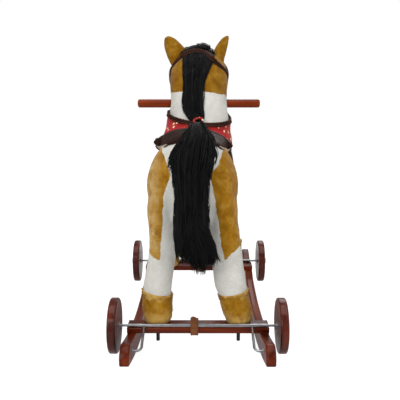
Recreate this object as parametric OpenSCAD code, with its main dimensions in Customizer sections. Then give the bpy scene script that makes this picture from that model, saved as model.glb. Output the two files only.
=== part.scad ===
// Plush rocking horse on wooden rockers, with two wheel frames that fold under the rockers.
// The horse faces +Y and stands on the floor at z = 0, with the origin midway between the rockers.

/* [Rockers] */
// Radius of the rolling edge
rocker_radius = 1220; // [1100:10:1400]
// Height of the rocker board
rocker_h = 42; // [38:1:48]
// Thickness of the rocker board
rocker_t = 20; // [17:1:24]
// Width over the outer faces of the two rockers
base_w = 310; // [300:1:330]
// Length of the flat at the middle of the rolling edge
foot_len = 90; // [70:2:110]
// Rounding of the upper corner at each end of a rocker
end_round = 30; // [20:1:34]

/* [Planks] */
// Width of a plank
plank_w = 44; // [40:1:48]
// Thickness of a plank
plank_t = 13; // [11:0.5:16]
// Rounding of a plank's upper edges
plank_round = 3; // [1:0.5:5]
// Height of a plank seat above the rocker's top edge
seat_rise = 1; // [0.5:0.5:3]
// Length of the ramp up to a plank seat
seat_ramp = 38; // [20:1:50]
// Diameter of a plank screw
screw_d = 4; // [3:0.5:5]
// Length of a plank screw
screw_len = 32; // [26:1:36]
// Distance between the two screws at a plank's end
screw_pitch = 24; // [20:1:28]

/* [Wheel frames] */
// Diameter of the axle rod
rod_d = 8; // [7:0.5:9]
// Diameter of the axle's thinner ends, which carry the wheels
axle_end_d = 5.5; // [5:0.5:6.5]
// Distance from a plank's end to the shoulder where the axle thins
axle_step = 5; // [3:0.5:8]
// Diameter of the arm rods and their pivot ends
arm_d = 5.5; // [5:0.5:7]
// Distance of a pivot beyond the plank's outer edge
pivot_reach = 68; // [65:1:72]
// Distance of a rocker's end beyond the pivot
pivot_inset = 55; // [48:1:62]
// Distance of each arm's middle from the rocker's inner face
arm_gap = 18; // [16:1:22]
// Radius of the bend at an arm's pivot end
bend_r = 12; // [9:1:12]
// How deep a pivot end sits in its bush
pin_depth = 12; // [9:1:13]
// Length of a bush in the rocker
bush_len = 14; // [13.5:0.5:15]
// Wall of a bush
bush_wall = 2.5; // [2:0.5:3]
// Diameter of a bush's flange
bush_flange_d = 13; // [12.5:0.5:15]
// Thickness of a bush's flange
bush_flange_t = 1; // [1:0.5:2]

/* [Wheels] */
// Diameter of a wheel
wheel_d = 120; // [110:1:126]
// Thickness of a wheel
wheel_t = 18; // [15:1:20]
// Rounding of a wheel's rim
rim_round = 3.5; // [2.5:0.5:6]
// Depth of the turned dish in a wheel's outer face
dish_depth = 2; // [1:0.5:3]
// Radius of the hub inside the dish
hub_r = 15; // [12:1:20]
// Radius of the dish
dish_r = 46; // [42:1:50]
// Distance from the rocker's outer face to the wheel
wheel_gap = 17.5; // [14:0.5:22]
// Diameter of the washer on the axle beside each wheel
axle_washer_d = 14; // [12:0.5:18]
// Thickness of the washer beside each wheel
axle_washer_t = 1; // [1:0.5:2]
// Diameter of the cap on the end of an axle
cap_d = 20; // [16:1:24]
// Height of the cap
cap_h = 7; // [6.5:0.5:9]
// How far the axle reaches into the cap
cap_grip = 5; // [4:0.5:5.5]

/* [Straps] */
// Width of a hold-down strap
strap_w = 17; // [14:1:22]
// Thickness of a hold-down strap
strap_t = 2; // [1.5:0.5:3]
// Length of a strap's free end, which stands up at the rear and hangs down at the front
strap_tab = 20; // [12:1:24]
// Sideways place of the rear strap
rear_strap_x = -8; // [-20:1:20]
// Sideways place of the front strap
front_strap_x = 6; // [-20:1:20]
// Diameter of a strap's press stud
stud_d = 10; // [8:1:12]

/* [Leg bolts] */
// Diameter of a leg bolt
bolt_d = 8; // [6:0.5:10]
// Length of a bolt below the plank
bolt_drop = 32; // [28:1:38]
// Length of a bolt in the leg post
bolt_in = 32; // [26:1:36]
// Width of a nut across its corners
nut_d = 15; // [13:0.5:18]
// Height of a nut
nut_h = 8; // [6:0.5:10]
// Diameter of a washer
washer_d = 20; // [17:1:24]
// Thickness of a washer
washer_t = 2; // [1:0.5:3]

/* [Wooden core] */
// Diameter of a leg post
post_d = 26; // [22:1:30]
// Width of the body beam
beam_w = 46; // [40:1:52]
// Height of the body beam
beam_h = 60; // [52:1:66]
// Thickness of the cross blocks that take the leg posts
block_t = 40; // [34:1:46]
// Width of the neck post
neck_post_w = 44; // [38:1:50]
// Depth of the neck post
neck_post_d = 40; // [34:1:46]
// Length of the neck post
neck_post_len = 236; // [215:1:250]
// Distance of the handle up the neck post
handle_up = 152; // [140:1:160]
// Diameter of the handle
handle_d = 22; // [20:0.5:25]
// Length of the handle
handle_len = 326; // [290:2:350]

/* [Body] */
// Length of the stuffed body
body_len = 430; // [410:2:440]
// Width of the body at the rump
body_w = 204; // [196:2:216]
// Height of the body at the rump
body_h = 230; // [220:2:240]
// Height of the body's middle above the planks
body_up = 297; // [285:1:310]

/* [Legs] */
// Distance of each hoof's middle from the side of the base
foot_side = 65; // [59:1:71]
// Distance of each hoof from its plank's centre line, inward
foot_inset = 13; // [11:1:15]
// Distance of each leg post's top from the middle, sideways
hip_x = 62; // [58:1:64]
// Distance of each leg post's top from the middle, lengthways
hip_y = 150; // [144:1:156]
// Distance that each foot stands out beyond its hip, lengthways
leg_rake = 47; // [42:1:52]
// Height of a hoof
hoof_h = 78; // [70:1:86]
// Width of a hoof
hoof_w = 66; // [62:1:70]
// Depth of a hoof, front to back
hoof_d = 58; // [54:1:60]
// Width of a leg above the hoof
leg_w = 61; // [58:1:64]

/* [Neck and head] */
// Place of the neck post's foot along the body beam
neck_y = 96; // [90:1:102]
// Forward lean of the neck
neck_lean = 22.5; // [20:0.5:25]
// Width of the neck
neck_w = 160; // [150:2:170]
// Depth of the neck, front to back
neck_d = 128; // [120:2:136]
// Length of the neck above the body beam
neck_len = 296; // [286:2:306]
// Distance of the head's middle up the neck
head_up = 262; // [256:1:268]
// Downward tilt of the head
head_dip = 42; // [38:1:46]
// Length of the head from its middle to the nose
head_len = 190; // [180:1:194]
// Width of the head at the cheeks
head_w = 160; // [150:2:170]
// Depth of the head at the cheeks
head_d = 146; // [136:2:152]
// Length of an ear
ear_len = 66; // [56:1:76]
// Width of an ear at its base
ear_w = 50; // [42:1:56]
// Diameter of an eye
eye_d = 20; // [16:1:24]

/* [Hair] */
// Width of the tail where it spreads
tail_w = 104; // [90:2:116]
// Thickness of the tail
tail_t = 40; // [30:1:46]
// Height of the tail's end above the floor
tail_low = 228; // [215:1:245]
// Width of the mane at the poll
mane_w = 78; // [66:2:88]
// Thickness of the mane
mane_t = 36; // [28:1:42]

/* [Tack] */
// Thickness of the saddle's skirt
skirt_t = 3; // [2:0.5:4]
// Thickness of the saddle's seat pad
seat_pad = 13; // [10:1:16]
// Width of the cantle over its tips
cantle_w = 174; // [160:2:190]
// Height of the cantle roll
cantle_h = 26; // [20:1:30]
// Width of the girth
girth_w = 28; // [22:1:34]
// Thickness of the leather straps of bridle, reins and girth
leather_t = 2.5; // [2:0.5:3]
// Width of the bridle and rein straps
leather_w = 12; // [9:1:15]
// Diameter of a bit ring over its outside
ring_d = 26; // [22:1:30]
// Thickness of the bandana's folded cloth
cloth_t = 4; // [3:0.5:5]
// Diameter of the knot's loop
knot_d = 26; // [20:1:32]
// Length of a stirrup leather from its rivet to the stirrup
leather_len = 78; // [70:1:84]
// Width of a stirrup
stirrup_w = 74; // [66:1:84]
// Height of a stirrup
stirrup_h = 74; // [66:1:80]
// Depth of a stirrup's tread
tread_w = 20; // [16:1:22]
// Thickness of a stirrup's bow
bow_t = 8; // [6:0.5:10]
// Diameter of a stirrup rivet
rivet_d = 6; // [5:0.5:8]

/* [Hidden] */
$fn = 48;
// Gap between pieces that move past each other, and round soft pieces
gap = 0.3;
// Radial running clearance of a wheel or a pivot
run = 0.05;
// Overcut that takes a cutter clear through a face
over = 1;

// Lengthways from the hips to the feet, the planks, the pivots and the rockers' ends
foot_y = hip_y + leg_rake;
plank_y = foot_y + foot_inset;
plank_in = plank_y - plank_w / 2;
plank_out = plank_y + plank_w / 2;
pivot_y = plank_out + pivot_reach;
half_len = pivot_y + pivot_inset;
rocker_len = 2 * half_len;

// Rocker edges
foot_drop = rocker_radius - sqrt(pow(rocker_radius, 2) - pow(foot_len / 2, 2));
arc_z = rocker_radius - foot_drop;
top_radius = rocker_radius - rocker_h;
function low_edge(y) = arc_z - sqrt(pow(rocker_radius, 2) - y * y);
function top_edge(y) = arc_z - sqrt(pow(top_radius, 2) - y * y);
inner_x = base_w / 2 - rocker_t;
arm_x = inner_x - arm_gap;

// Planks
seat_z = top_edge(plank_out) + seat_rise;
plank_top = seat_z + plank_t;

// Wheel frames, from the pivot in the rocker to the axle on the plank's outer edge
axle_y = plank_out - rod_d / 2;
axle_z = plank_top + gap + rod_d / 2;
pivot_z = (low_edge(pivot_y) + top_edge(pivot_y)) / 2;
arm_len = norm([pivot_y - axle_y, axle_z - pivot_z]);
arm_angle = atan2(axle_z - pivot_z, pivot_y - axle_y);
wheel_x = base_w / 2 + wheel_gap;
wheel_out = wheel_x + wheel_t;
axle_half = wheel_out + gap + cap_grip;
axle_mid = base_w / 2 - axle_step;

// Wooden core and soft body
foot_x = base_w / 2 - foot_side;
body_z = plank_top + body_up;
beam_low = body_z - beam_h / 2;
beam_top = body_z + beam_h / 2;

// Directions in the Y-Z plane: along the neck, along the head, and up from the head's line
neck_dir = [sin(neck_lean), cos(neck_lean)];
head_dir = [cos(head_dip), -sin(head_dip)];
head_normal = [sin(head_dip), cos(head_dip)];
neck_foot = [neck_y, beam_top];
poll = neck_foot + head_up * neck_dir;
handle_at = neck_foot + handle_up * neck_dir;
function on_head(along, up) = poll + along * head_dir + up * head_normal;

// A soft form is a row of stations [x, y, z, half width, half thickness].
// Each station is an ellipse across the row's direction in the Y-Z plane.
function blend(a, b, c, d, t) =
    0.5 * (2 * b + (c - a) * t + (2 * a - 5 * b + 4 * c - d) * t * t + (3 * b - a - 3 * c + d) * t * t * t);
function smooth(rows, steps) = [
    for (i = [0 : len(rows) - 2])
        for (k = [0 : steps - 1])
            blend(rows[max(i - 1, 0)], rows[i], rows[i + 1], rows[min(i + 2, len(rows) - 1)], k / steps),
    rows[len(rows) - 1]
];
function tilt(rows, i) =
    let (a = rows[max(i - 1, 0)], b = rows[min(i + 1, len(rows) - 1)])
    atan2(b[2] - a[2], b[1] - a[1]) + 90;
function ring(row, angle, sides, grow) = [
    for (k = [0 : sides - 1])
        let (
            t = 360 * k / sides,
            across = (row[3] + grow) * cos(t),
            up = (row[4] + grow) * sin(t)
        )
        [row[0] + across, row[1] + up * cos(angle), row[2] + up * sin(angle)]
];
// The middle of an end cap, pushed out along the row by the growth
function cap_point(rows, i, grow, way) =
    let (angle = tilt(rows, i) - 90)
    [rows[i][0], rows[i][1] + way * grow * cos(angle), rows[i][2] + way * grow * sin(angle)];

module form(rows, sides, grow = 0) {
    last = len(rows) - 1;
    points = concat(
        [for (i = [0 : last]) each ring(rows[i], tilt(rows, i), sides, grow)],
        [cap_point(rows, 0, grow, -1), cap_point(rows, last, grow, 1)]
    );
    start_cap = (last + 1) * sides;
    faces = concat(
        [
            for (i = [0 : last - 1])
                for (k = [0 : sides - 1])
                    let (a = i * sides + k, b = i * sides + (k + 1) % sides)
                    each [[a, b, a + sides], [b, b + sides, a + sides]]
        ],
        [for (k = [0 : sides - 1]) [start_cap, (k + 1) % sides, k]],
        [for (k = [0 : sides - 1]) [start_cap + 1, last * sides + k, last * sides + (k + 1) % sides]]
    );
    polyhedron(points, faces);
}

// One stuffed or sewn piece, taken as a single faceted skin at its own size
module soft() {
    resize([0, 0, 0]) children();
}

// A profile in the Y-Z plane, drawn along X from x0
module across(x0, width) {
    translate([x0, 0, 0]) rotate([90, 0, 90]) linear_extrude(width) children();
}

// A round bar along X
module bar_x(x0, x1, d) {
    translate([x0, 0, 0]) rotate([0, 90, 0]) cylinder(d = d, h = x1 - x0);
}

// A revolved profile [radius, x] about an axis along X
module turned_x() {
    rotate([0, 90, 0]) rotate_extrude() children();
}

// A round bar from one point to another, longer by extra at both ends, its seam turned off the line of lean
module bar(p, q, d, extra = 0) {
    v = q - p;
    translate(p)
        rotate([0, acos(v[2] / norm(v)), atan2(v[1], v[0])])
            rotate([0, 0, 40])
                translate([0, 0, -extra])
                    cylinder(d = d, h = norm(v) + 2 * extra);
}

// Everything between two heights
module layer(low, high) {
    translate([-base_w, -rocker_len, low]) cube([2 * base_w, 2 * rocker_len, high - low]);
}

// A slab across X, of a thickness along its normal and a reach to both sides of a point [y, z]
module slab(at, angle, thickness, reach) {
    translate([0, at[0], at[1]])
        rotate([angle, 0, 0])
            cube([2 * base_w, 2 * reach, thickness], center = true);
}

// Rockers

// The rounding's centre stands a little outward, so that it crosses the edges at a small angle
module end_cut() {
    inset = 0.96 * end_round;
    depth = top_radius + inset;
    fillet = [half_len - inset, arc_z - sqrt(pow(depth, 2) - pow(half_len - inset, 2))];
    crest = [0, arc_z] + (fillet - [0, arc_z]) * (top_radius - end_round / 2) / depth;
    difference() {
        polygon([fillet, crest, [half_len + over, top_edge(half_len) + end_round], [half_len + over, fillet[1]]]);
        translate(fillet) circle(end_round);
    }
}

module seat_pad_outline() {
    ramp = plank_in - seat_ramp;
    polygon([
        [ramp, low_edge(ramp) + rocker_h / 2],
        [ramp, top_edge(ramp) - over],
        [plank_in, seat_z],
        [plank_out, seat_z],
        [plank_out, low_edge(plank_out) + rocker_h / 2]
    ]);
}

module rocker_outline() {
    difference() {
        intersection() {
            translate([0, arc_z]) circle(rocker_radius);
            translate([-half_len, 0]) square([rocker_len, arc_z]);
        }
        translate([0, arc_z]) circle(top_radius);
        end_cut();
        mirror([1, 0]) end_cut();
    }
}

module plank_screw_places() {
    for (side = [-1, 1])
        for (end = [-1, 1])
            for (step = [-1, 1])
                translate([side * (base_w - rocker_t) / 2, end * plank_y + step * screw_pitch / 2, plank_top])
                    children();
}

module plank_screw() {
    translate([0, 0, -screw_len]) cylinder(d = screw_d, h = screw_len);
    translate([0, 0, -screw_d / 2]) cylinder(d1 = screw_d, d2 = 2 * screw_d, h = screw_d / 2);
}

module rocker(side) {
    color("#5a2018")
    difference() {
        union() {
            across(side > 0 ? inner_x : -base_w / 2, rocker_t) rocker_outline();
            across(side > 0 ? inner_x : -base_w / 2, rocker_t) seat_pad_outline();
            across(side > 0 ? inner_x : -base_w / 2, rocker_t) mirror([1, 0]) seat_pad_outline();
        }
        for (end = [-1, 1])
            translate([0, end * pivot_y, pivot_z])
                mirror([side > 0 ? 0 : 1, 0, 0])
                    bar_x(inner_x - over, inner_x + bush_len, arm_d + 2 * (run + bush_wall));
        plank_screw_places() plank_screw();
    }
}

// Planks

module plank_outline() {
    translate([plank_in, seat_z]) square([plank_w, plank_t - plank_round]);
    translate([plank_in + plank_round, seat_z]) square([plank_w - 2 * plank_round, plank_t]);
    for (y = [plank_in + plank_round, plank_out - plank_round])
        translate([y, plank_top - plank_round]) circle(plank_round);
}

module leg_places(end) {
    for (side = [-1, 1])
        translate([side * foot_x, end * foot_y, 0]) children();
}

module plank(end) {
    color("#6b2a1c")
    difference() {
        mirror([0, end > 0 ? 0 : 1, 0]) across(-base_w / 2, base_w) plank_outline();
        plank_screw_places() plank_screw();
        leg_places(end) translate([0, 0, seat_z - over]) cylinder(d = bolt_d, h = plank_t + 2 * over);
    }
}

module plank_screws() {
    color("silver") plank_screw_places() plank_screw();
}

// Wheel frames

module frame_arm() {
    translate([arm_x, bend_r, 0]) rotate([-90, 0, 0]) cylinder(d = arm_d, h = arm_len - bend_r);
    translate([arm_x + bend_r, bend_r, 0])
        rotate([0, 0, 180])
            rotate_extrude(angle = 90)
                translate([bend_r, 0]) circle(d = arm_d);
    bar_x(arm_x + bend_r, inner_x + pin_depth, arm_d);
}

// The rear frame as it is stowed, and the front one mirrored
module at_end(end) {
    mirror([0, end > 0 ? 1 : 0, 0]) children();
}

module on_axle(end) {
    at_end(end) translate([0, -axle_y, axle_z]) children();
}

module wheel_frame(end) {
    color("lightslategray") {
        on_axle(end) {
            bar_x(-axle_half, axle_half, axle_end_d);
            bar_x(-axle_mid, axle_mid, rod_d);
        }
        for (side = [0, 1])
            at_end(end)
                translate([0, -pivot_y, pivot_z])
                    rotate([arm_angle, 0, 0])
                        mirror([side, 0, 0]) frame_arm();
    }
}

module pivot_bush() {
    translate([inner_x, 0, 0]) turned_x() {
        translate([arm_d / 2 + run, -bush_len]) square([bush_wall, bush_len]);
        translate([arm_d / 2 + run, 0]) square([bush_flange_d / 2 - arm_d / 2 - run, bush_flange_t]);
    }
}

module pivot_bushes() {
    color("dimgray")
    for (side = [0, 1])
        for (end = [-1, 1])
            mirror([side, 0, 0])
                translate([0, end * pivot_y, pivot_z])
                    translate([2 * inner_x, 0, 0]) mirror([1, 0, 0]) pivot_bush();
}

// Wheels

module wheel_outline() {
    bore_r = axle_end_d / 2 + run;
    wheel_r = wheel_d / 2;
    flat_r = wheel_r - rim_round;
    difference() {
        union() {
            translate([bore_r, 0]) square([flat_r - bore_r, wheel_t]);
            translate([flat_r, rim_round]) square([rim_round, wheel_t - 2 * rim_round]);
            for (h = [rim_round, wheel_t - rim_round])
                translate([flat_r, h]) circle(rim_round);
        }
        translate([hub_r, wheel_t - dish_depth]) square([dish_r - hub_r, dish_depth + over]);
    }
}

module wheel(end, side) {
    color("#6e2418")
    on_axle(end)
        mirror([side > 0 ? 0 : 1, 0, 0])
            translate([wheel_x, 0, 0]) turned_x() wheel_outline();
}

module axle_washers(end) {
    color("gray")
    for (side = [0, 1])
        on_axle(end)
            mirror([side, 0, 0])
                translate([wheel_x - gap - axle_washer_t, 0, 0])
                    turned_x() translate([axle_end_d / 2, 0]) square([(axle_washer_d - axle_end_d) / 2, axle_washer_t]);
}

module axle_caps(end) {
    color("gray")
    for (side = [0, 1])
        on_axle(end) mirror([side, 0, 0]) translate([wheel_out + gap, 0, 0])
            difference() {
                turned_x() {
                    square([cap_d / 2, cap_h - rod_d / 2]);
                    square([cap_d / 2 - rod_d / 2, cap_h]);
                    translate([cap_d / 2 - rod_d / 2, cap_h - rod_d / 2])
                        intersection() {
                            circle(rod_d / 2);
                            square(rod_d);
                        }
                }
                bar_x(-over, cap_grip, axle_end_d);
            }
}

// Hold-down straps

module wrap(grow) {
    hull() {
        translate([plank_in - grow, seat_z - grow]) square([plank_w + 2 * grow, plank_t + 2 * grow]);
        translate([axle_y, axle_z]) circle(rod_d / 2 + grow, $fn = 32);
    }
}

function strap_place(end) = end > 0 ? front_strap_x : rear_strap_x;

module hold_strap(end) {
    color("#7a4526")
    mirror([0, end > 0 ? 0 : 1, 0])
        across(strap_place(end) - strap_w / 2, strap_w) {
            difference() {
                wrap(gap + strap_t);
                wrap(gap);
            }
            translate([plank_out + gap, end > 0 ? seat_z - strap_tab * 0.7 : axle_z])
                square([strap_t, rod_d / 2 + strap_tab]);
        }
}

// Each stud sits on the strap's forward face
function stud_y(end) = gap + strap_t + (end > 0 ? plank_out : -plank_in);

module strap_studs() {
    color("goldenrod")
    for (end = [-1, 1])
        translate([strap_place(end), stud_y(end), (seat_z + plank_top) / 2])
            rotate([-90, 0, 0]) {
                cylinder(d = stud_d, h = strap_t / 2);
                cylinder(d = stud_d * 0.7, h = strap_t);
            }
}

// Leg bolts

module bolt_stack(end) {
    leg_places(end) translate([0, 0, seat_z]) children();
}

module leg_bolts() {
    color("silver")
    for (end = [-1, 1])
        bolt_stack(end) translate([0, 0, -bolt_drop]) cylinder(d = bolt_d, h = bolt_drop + plank_t + bolt_in);
}

module leg_nuts() {
    color("silver")
    for (end = [-1, 1])
        bolt_stack(end)
            difference() {
                union() {
                    translate([0, 0, -washer_t]) cylinder(d = washer_d, h = washer_t);
                    translate([0, 0, -washer_t - nut_h]) cylinder(d = nut_d, h = nut_h, $fn = 6);
                }
                translate([0, 0, -bolt_drop]) cylinder(d = bolt_d, h = bolt_drop + over);
            }
}

// Wooden core

function foot_point(end, side) = [side * foot_x, end * foot_y, plank_top];
function hip_point(end, side) = [side * hip_x, end * hip_y, beam_low];

module post_bar(end, side, grow = 0) {
    bar(foot_point(end, side), hip_point(end, side), post_d + 2 * grow, post_d);
}

// Room for a leg post inside the stuffing
module post_channel(end, side) {
    post_bar(end, side, 2 * gap, $fn = 20);
}

module leg_post(end, side) {
    color("burlywood")
    difference() {
        intersection() {
            post_bar(end, side);
            layer(plank_top, beam_low);
        }
        leg_places(end) translate([0, 0, seat_z]) cylinder(d = bolt_d, h = plank_t + bolt_in);
    }
}

module body_beam_form(grow = 0) {
    beam_len = 2 * hip_y + block_t;
    block_w = 2 * hip_x + post_d;
    translate([0, 0, body_z]) {
        cube([beam_w + 2 * grow, beam_len + 2 * grow, beam_h + 2 * grow], center = true);
        for (end = [-1, 1])
            translate([0, end * hip_y, 0])
                cube([block_w + 2 * grow, block_t + 2 * grow, beam_h + 2 * grow], center = true);
    }
}

module body_beam() {
    color("burlywood") body_beam_form();
}

module along_neck() {
    translate([0, neck_foot[0], neck_foot[1]]) rotate([-neck_lean, 0, 0]) children();
}

module neck_post_form(grow = 0) {
    size = [neck_post_w + 2 * grow, neck_post_d + 2 * grow];
    intersection() {
        along_neck()
            translate([-size[0] / 2, -size[1] / 2, -neck_post_d])
                cube([size[0], size[1], neck_post_d + neck_post_len + grow]);
        layer(beam_top - grow, beam_top + neck_len);
    }
}

module neck_post_piece() {
    color("burlywood")
    difference() {
        neck_post_form();
        translate([0, handle_at[0], handle_at[1]]) bar_x(-neck_post_w, neck_post_w, handle_d);
    }
}

module handle_bar() {
    edge = handle_d / 4;
    color("#8a3416")
    translate([-handle_len / 2, handle_at[0], handle_at[1]])
        turned_x() {
            square([handle_d / 2 - edge, handle_len]);
            translate([0, edge]) square([handle_d / 2, handle_len - 2 * edge]);
            for (h = [edge, handle_len - edge])
                translate([handle_d / 2 - edge, h]) circle(edge);
        }
}

module handle_channel() {
    translate([0, handle_at[0], handle_at[1]]) bar_x(-handle_len / 2, handle_len / 2, handle_d + 4 * gap, $fn = 24);
}

// Stuffed forms

// Body from rump to chest: [share of half length, share of width, share of height, lift as a share of height]
body_rows = [
    [-1.00, 0.14, 0.14, 0.017], [-0.97, 0.46, 0.44, 0.017], [-0.88, 0.80, 0.78, 0.013], [-0.66, 1.00, 1.00, 0],
    [-0.35, 0.91, 0.94, -0.018], [0.00, 0.81, 0.88, -0.030], [0.35, 0.86, 0.91, -0.026], [0.64, 0.94, 0.96, -0.018],
    [0.86, 0.80, 0.80, -0.009], [0.96, 0.48, 0.47, 0], [1.00, 0.15, 0.15, 0.004]
];

module body_form(grow = 0) {
    rows = [
        for (r = body_rows)
            [0, r[0] * body_len / 2, body_z + r[3] * body_h, r[1] * body_w / 2, r[2] * body_h / 2]
    ];
    form(smooth(rows, 2), 24, grow);
}

// Neck from inside the chest to the poll: [share of length, share of width, share of depth]
neck_rows = [
    [-0.10, 1.15, 1.24], [0.13, 1.08, 1.13], [0.34, 1.02, 1.03], [0.54, 1.00, 1.00],
    [0.73, 1.00, 0.97], [0.87, 0.88, 0.80], [0.96, 0.58, 0.50], [1.00, 0.22, 0.20]
];

module neck_form(grow = 0) {
    rows = [
        for (r = neck_rows)
            let (p = neck_foot + r[0] * neck_len * neck_dir)
            [0, p[0], p[1], r[1] * neck_w / 2, r[2] * neck_d / 2]
    ];
    form(smooth(rows, 2), 20, grow);
}

// Head from behind the poll to the nose: [share of length, share of width, share of depth, lift as a share of depth]
head_rows = [
    [-0.15, 0.20, 0.20, 0], [-0.08, 0.60, 0.62, 0], [0.07, 0.92, 0.92, 0], [0.26, 1.00, 1.00, 0],
    [0.46, 0.87, 0.86, 0], [0.64, 0.67, 0.68, 0], [0.80, 0.58, 0.58, -0.007],
    [0.90, 0.54, 0.52, -0.014], [0.97, 0.40, 0.38, -0.020], [1.00, 0.16, 0.16, -0.020]
];

module head_form(grow = 0) {
    rows = [
        for (r = head_rows)
            let (p = on_head(r[0] * head_len, r[3] * head_d))
            [0, p[0], p[1], r[1] * head_w / 2, r[2] * head_d / 2]
    ];
    form(smooth(rows, 2), 20, grow);
}

// Leg from the hoof into the body: [share of the way to the hip, width, depth], both as shares of leg_w
leg_rows = [
    [-0.06, 1.04, 0.94], [0.12, 1.02, 0.93], [0.30, 1.00, 0.95], [0.52, 1.03, 1.10],
    [0.74, 1.24, 1.55], [0.96, 1.48, 1.95], [1.12, 1.40, 1.80]
];

module leg_form(end, side, grow = 0) {
    foot = [side * foot_x, end * foot_y, plank_top + hoof_h + gap];
    hip = [side * hip_x, end * hip_y, beam_low];
    rows = [
        for (r = leg_rows)
            let (p = foot + r[0] * (hip - foot))
            [p[0], p[1], p[2], r[1] * leg_w / 2, r[2] * leg_w / 2]
    ];
    form(smooth(rows, 2), 16, grow);
}

// Hoof from the plank up: [share of height, share of width, share of depth]
hoof_rows = [
    [0.00, 0.60, 0.66], [0.05, 0.72, 0.78], [0.22, 0.91, 0.92], [0.55, 1.00, 1.00], [0.88, 0.98, 0.99], [1.00, 0.94, 0.96]
];

module hoof_form(end, side) {
    rows = [
        for (r = hoof_rows)
            [
                side * foot_x, end * foot_y, plank_top + gap + r[0] * (hoof_h - gap),
                r[1] * hoof_w / 2, r[2] * hoof_d / 2
            ]
    ];
    form(rows, 16);
}

// Stuffed pieces

module body_plush() {
    color("#b0803a")
    soft() difference() {
        body_form();
        body_beam_form(gap);
        for (end = [-1, 1])
            for (side = [-1, 1])
                post_channel(end, side);
        neck_post_form(gap);
    }
}

module leg_plush(end, side) {
    color("#d8d4c8")
    soft() difference() {
        leg_form(end, side);
        body_form(gap);
        post_channel(end, side);
        layer(0, plank_top + hoof_h + gap);
    }
}

module hoof(end, side) {
    color("#b0803a")
    soft() difference() {
        hoof_form(end, side);
        post_channel(end, side);
    }
}

module neck_plush() {
    color("#d8d4c8")
    soft() difference() {
        neck_form();
        body_form(gap);
        neck_post_form(gap);
        handle_channel();
    }
}

module head_plush() {
    color("#b0803a")
    soft() difference() {
        head_form();
        neck_form(gap);
    }
}

// Ear from the head out to its tip: [share of length, share of width, share of thickness]
ear_rows = [
    [-0.30, 0.90, 1.00], [0.00, 1.00, 1.00], [0.30, 0.98, 0.90], [0.60, 0.80, 0.75], [0.85, 0.50, 0.55], [0.97, 0.26, 0.34],
    [1.00, 0.10, 0.16]
];
ear_splay = 27;
ear_root = [0.325 * head_w, poll[0] + 0.02 * head_len, poll[1] + 0.12 * head_d];
ear_dir = [sin(ear_splay), 0.1, cos(ear_splay)];
ear_t = 0.44 * ear_w;

module ear(side) {
    color("#b0803a")
    soft() difference() {
        mirror([side > 0 ? 0 : 1, 0, 0])
            form(smooth([
                for (r = ear_rows)
                    let (p = ear_root + r[0] * ear_len * ear_dir)
                    [p[0], p[1], p[2], r[1] * ear_w / 2, r[2] * ear_t / 2]
            ], 2), 12);
        head_form(gap);
        neck_form(gap);
        bridle_shell(gap);
    }
}

eye_at = on_head(0.38 * head_len, 0.20 * head_d);

module eyes() {
    color("#201008")
    soft() difference() {
        for (side = [-1, 1])
            translate([side * 0.405 * head_w, eye_at[0], eye_at[1]]) sphere(d = eye_d, $fn = 16);
        head_form(gap);
    }
}

// Hair

// Tail from its root over the rump and down:
// [y from the rump's end as a share of the body's length, share of drop, share of width, share of thickness]
tail_top_z = body_z + 0.548 * body_h;
tail_rows = [
    [0.153, 0.16, 0.26, 0.60], [0.140, 0.06, 0.40, 0.76], [0.102, 0.00, 0.58, 0.86], [0.047, 0.00, 0.82, 0.95],
    [-0.014, 0.07, 0.98, 1.00], [-0.056, 0.22, 1.00, 1.00], [-0.079, 0.40, 0.74, 0.92], [-0.086, 0.57, 0.64, 0.88],
    [-0.088, 0.74, 0.66, 0.84], [-0.091, 0.89, 0.70, 0.72], [-0.093, 0.97, 0.50, 0.48], [-0.093, 1.00, 0.18, 0.20]
];

module tail_form() {
    form(smooth([
        for (r = tail_rows)
            [
                0, (r[0] - 0.5) * body_len, tail_top_z - r[1] * (tail_top_z - tail_low),
                r[2] * tail_w / 2, r[3] * tail_t / 2
            ]
    ], 2), 16);
}

module tail() {
    color("#15130f")
    soft() difference() {
        tail_form();
        body_form(gap);
    }
}

// Mane down the back of the neck: [share of the way up the neck, share of width]
mane_rows = [
    [0.31, 0.30], [0.35, 0.52], [0.50, 0.62], [0.66, 0.76], [0.82, 0.94], [0.92, 1.00], [0.99, 0.90], [1.02, 0.60]
];

// Share of the neck's depth at a share of its length
function neck_back(t) = t < 0.75 ? 0.5 : 0.5 - 0.85 * (t - 0.75);

module mane_form(grow = 0) {
    form(smooth([
        for (r = mane_rows)
            let (p = neck_foot + r[0] * neck_len * neck_dir - neck_back(r[0]) * neck_d * [neck_dir[1], -neck_dir[0]])
            [0, p[0], p[1], r[1] * mane_w / 2, min(1, 0.4 + r[1]) * mane_t / 2]
    ], 2), 14, grow);
}

module mane() {
    color("#15130f")
    soft() difference() {
        mane_form();
        neck_form(gap);
        head_form(gap);
        bridle_shell(gap);
        rein_band(gap);
    }
}

// Forelock from the poll down the forehead: [along the head, up from its surface, share of width]
forelock_rows = [[-0.10, 0.38, 0.70], [0.04, 0.49, 0.80], [0.20, 0.52, 0.70], [0.36, 0.48, 0.54], [0.48, 0.43, 0.34], [0.53, 0.40, 0.12]];

module forelock() {
    color("#15130f")
    soft() difference() {
        form(smooth([
            for (r = forelock_rows)
                let (p = on_head(r[0] * head_len, r[1] * head_d))
                [0, p[0], p[1], r[2] * mane_w / 2, min(1, 2 * r[2]) * mane_t / 3]
        ], 2), 12);
        head_form(gap);
        neck_form(gap);
        mane_form(gap);
        bridle_shell(gap);
    }
}

// Saddle and girth

skirt_low = body_z - 0.04 * body_h;
skirt_rear = -0.15 * body_len;
skirt_front = 0.17 * body_len;

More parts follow.
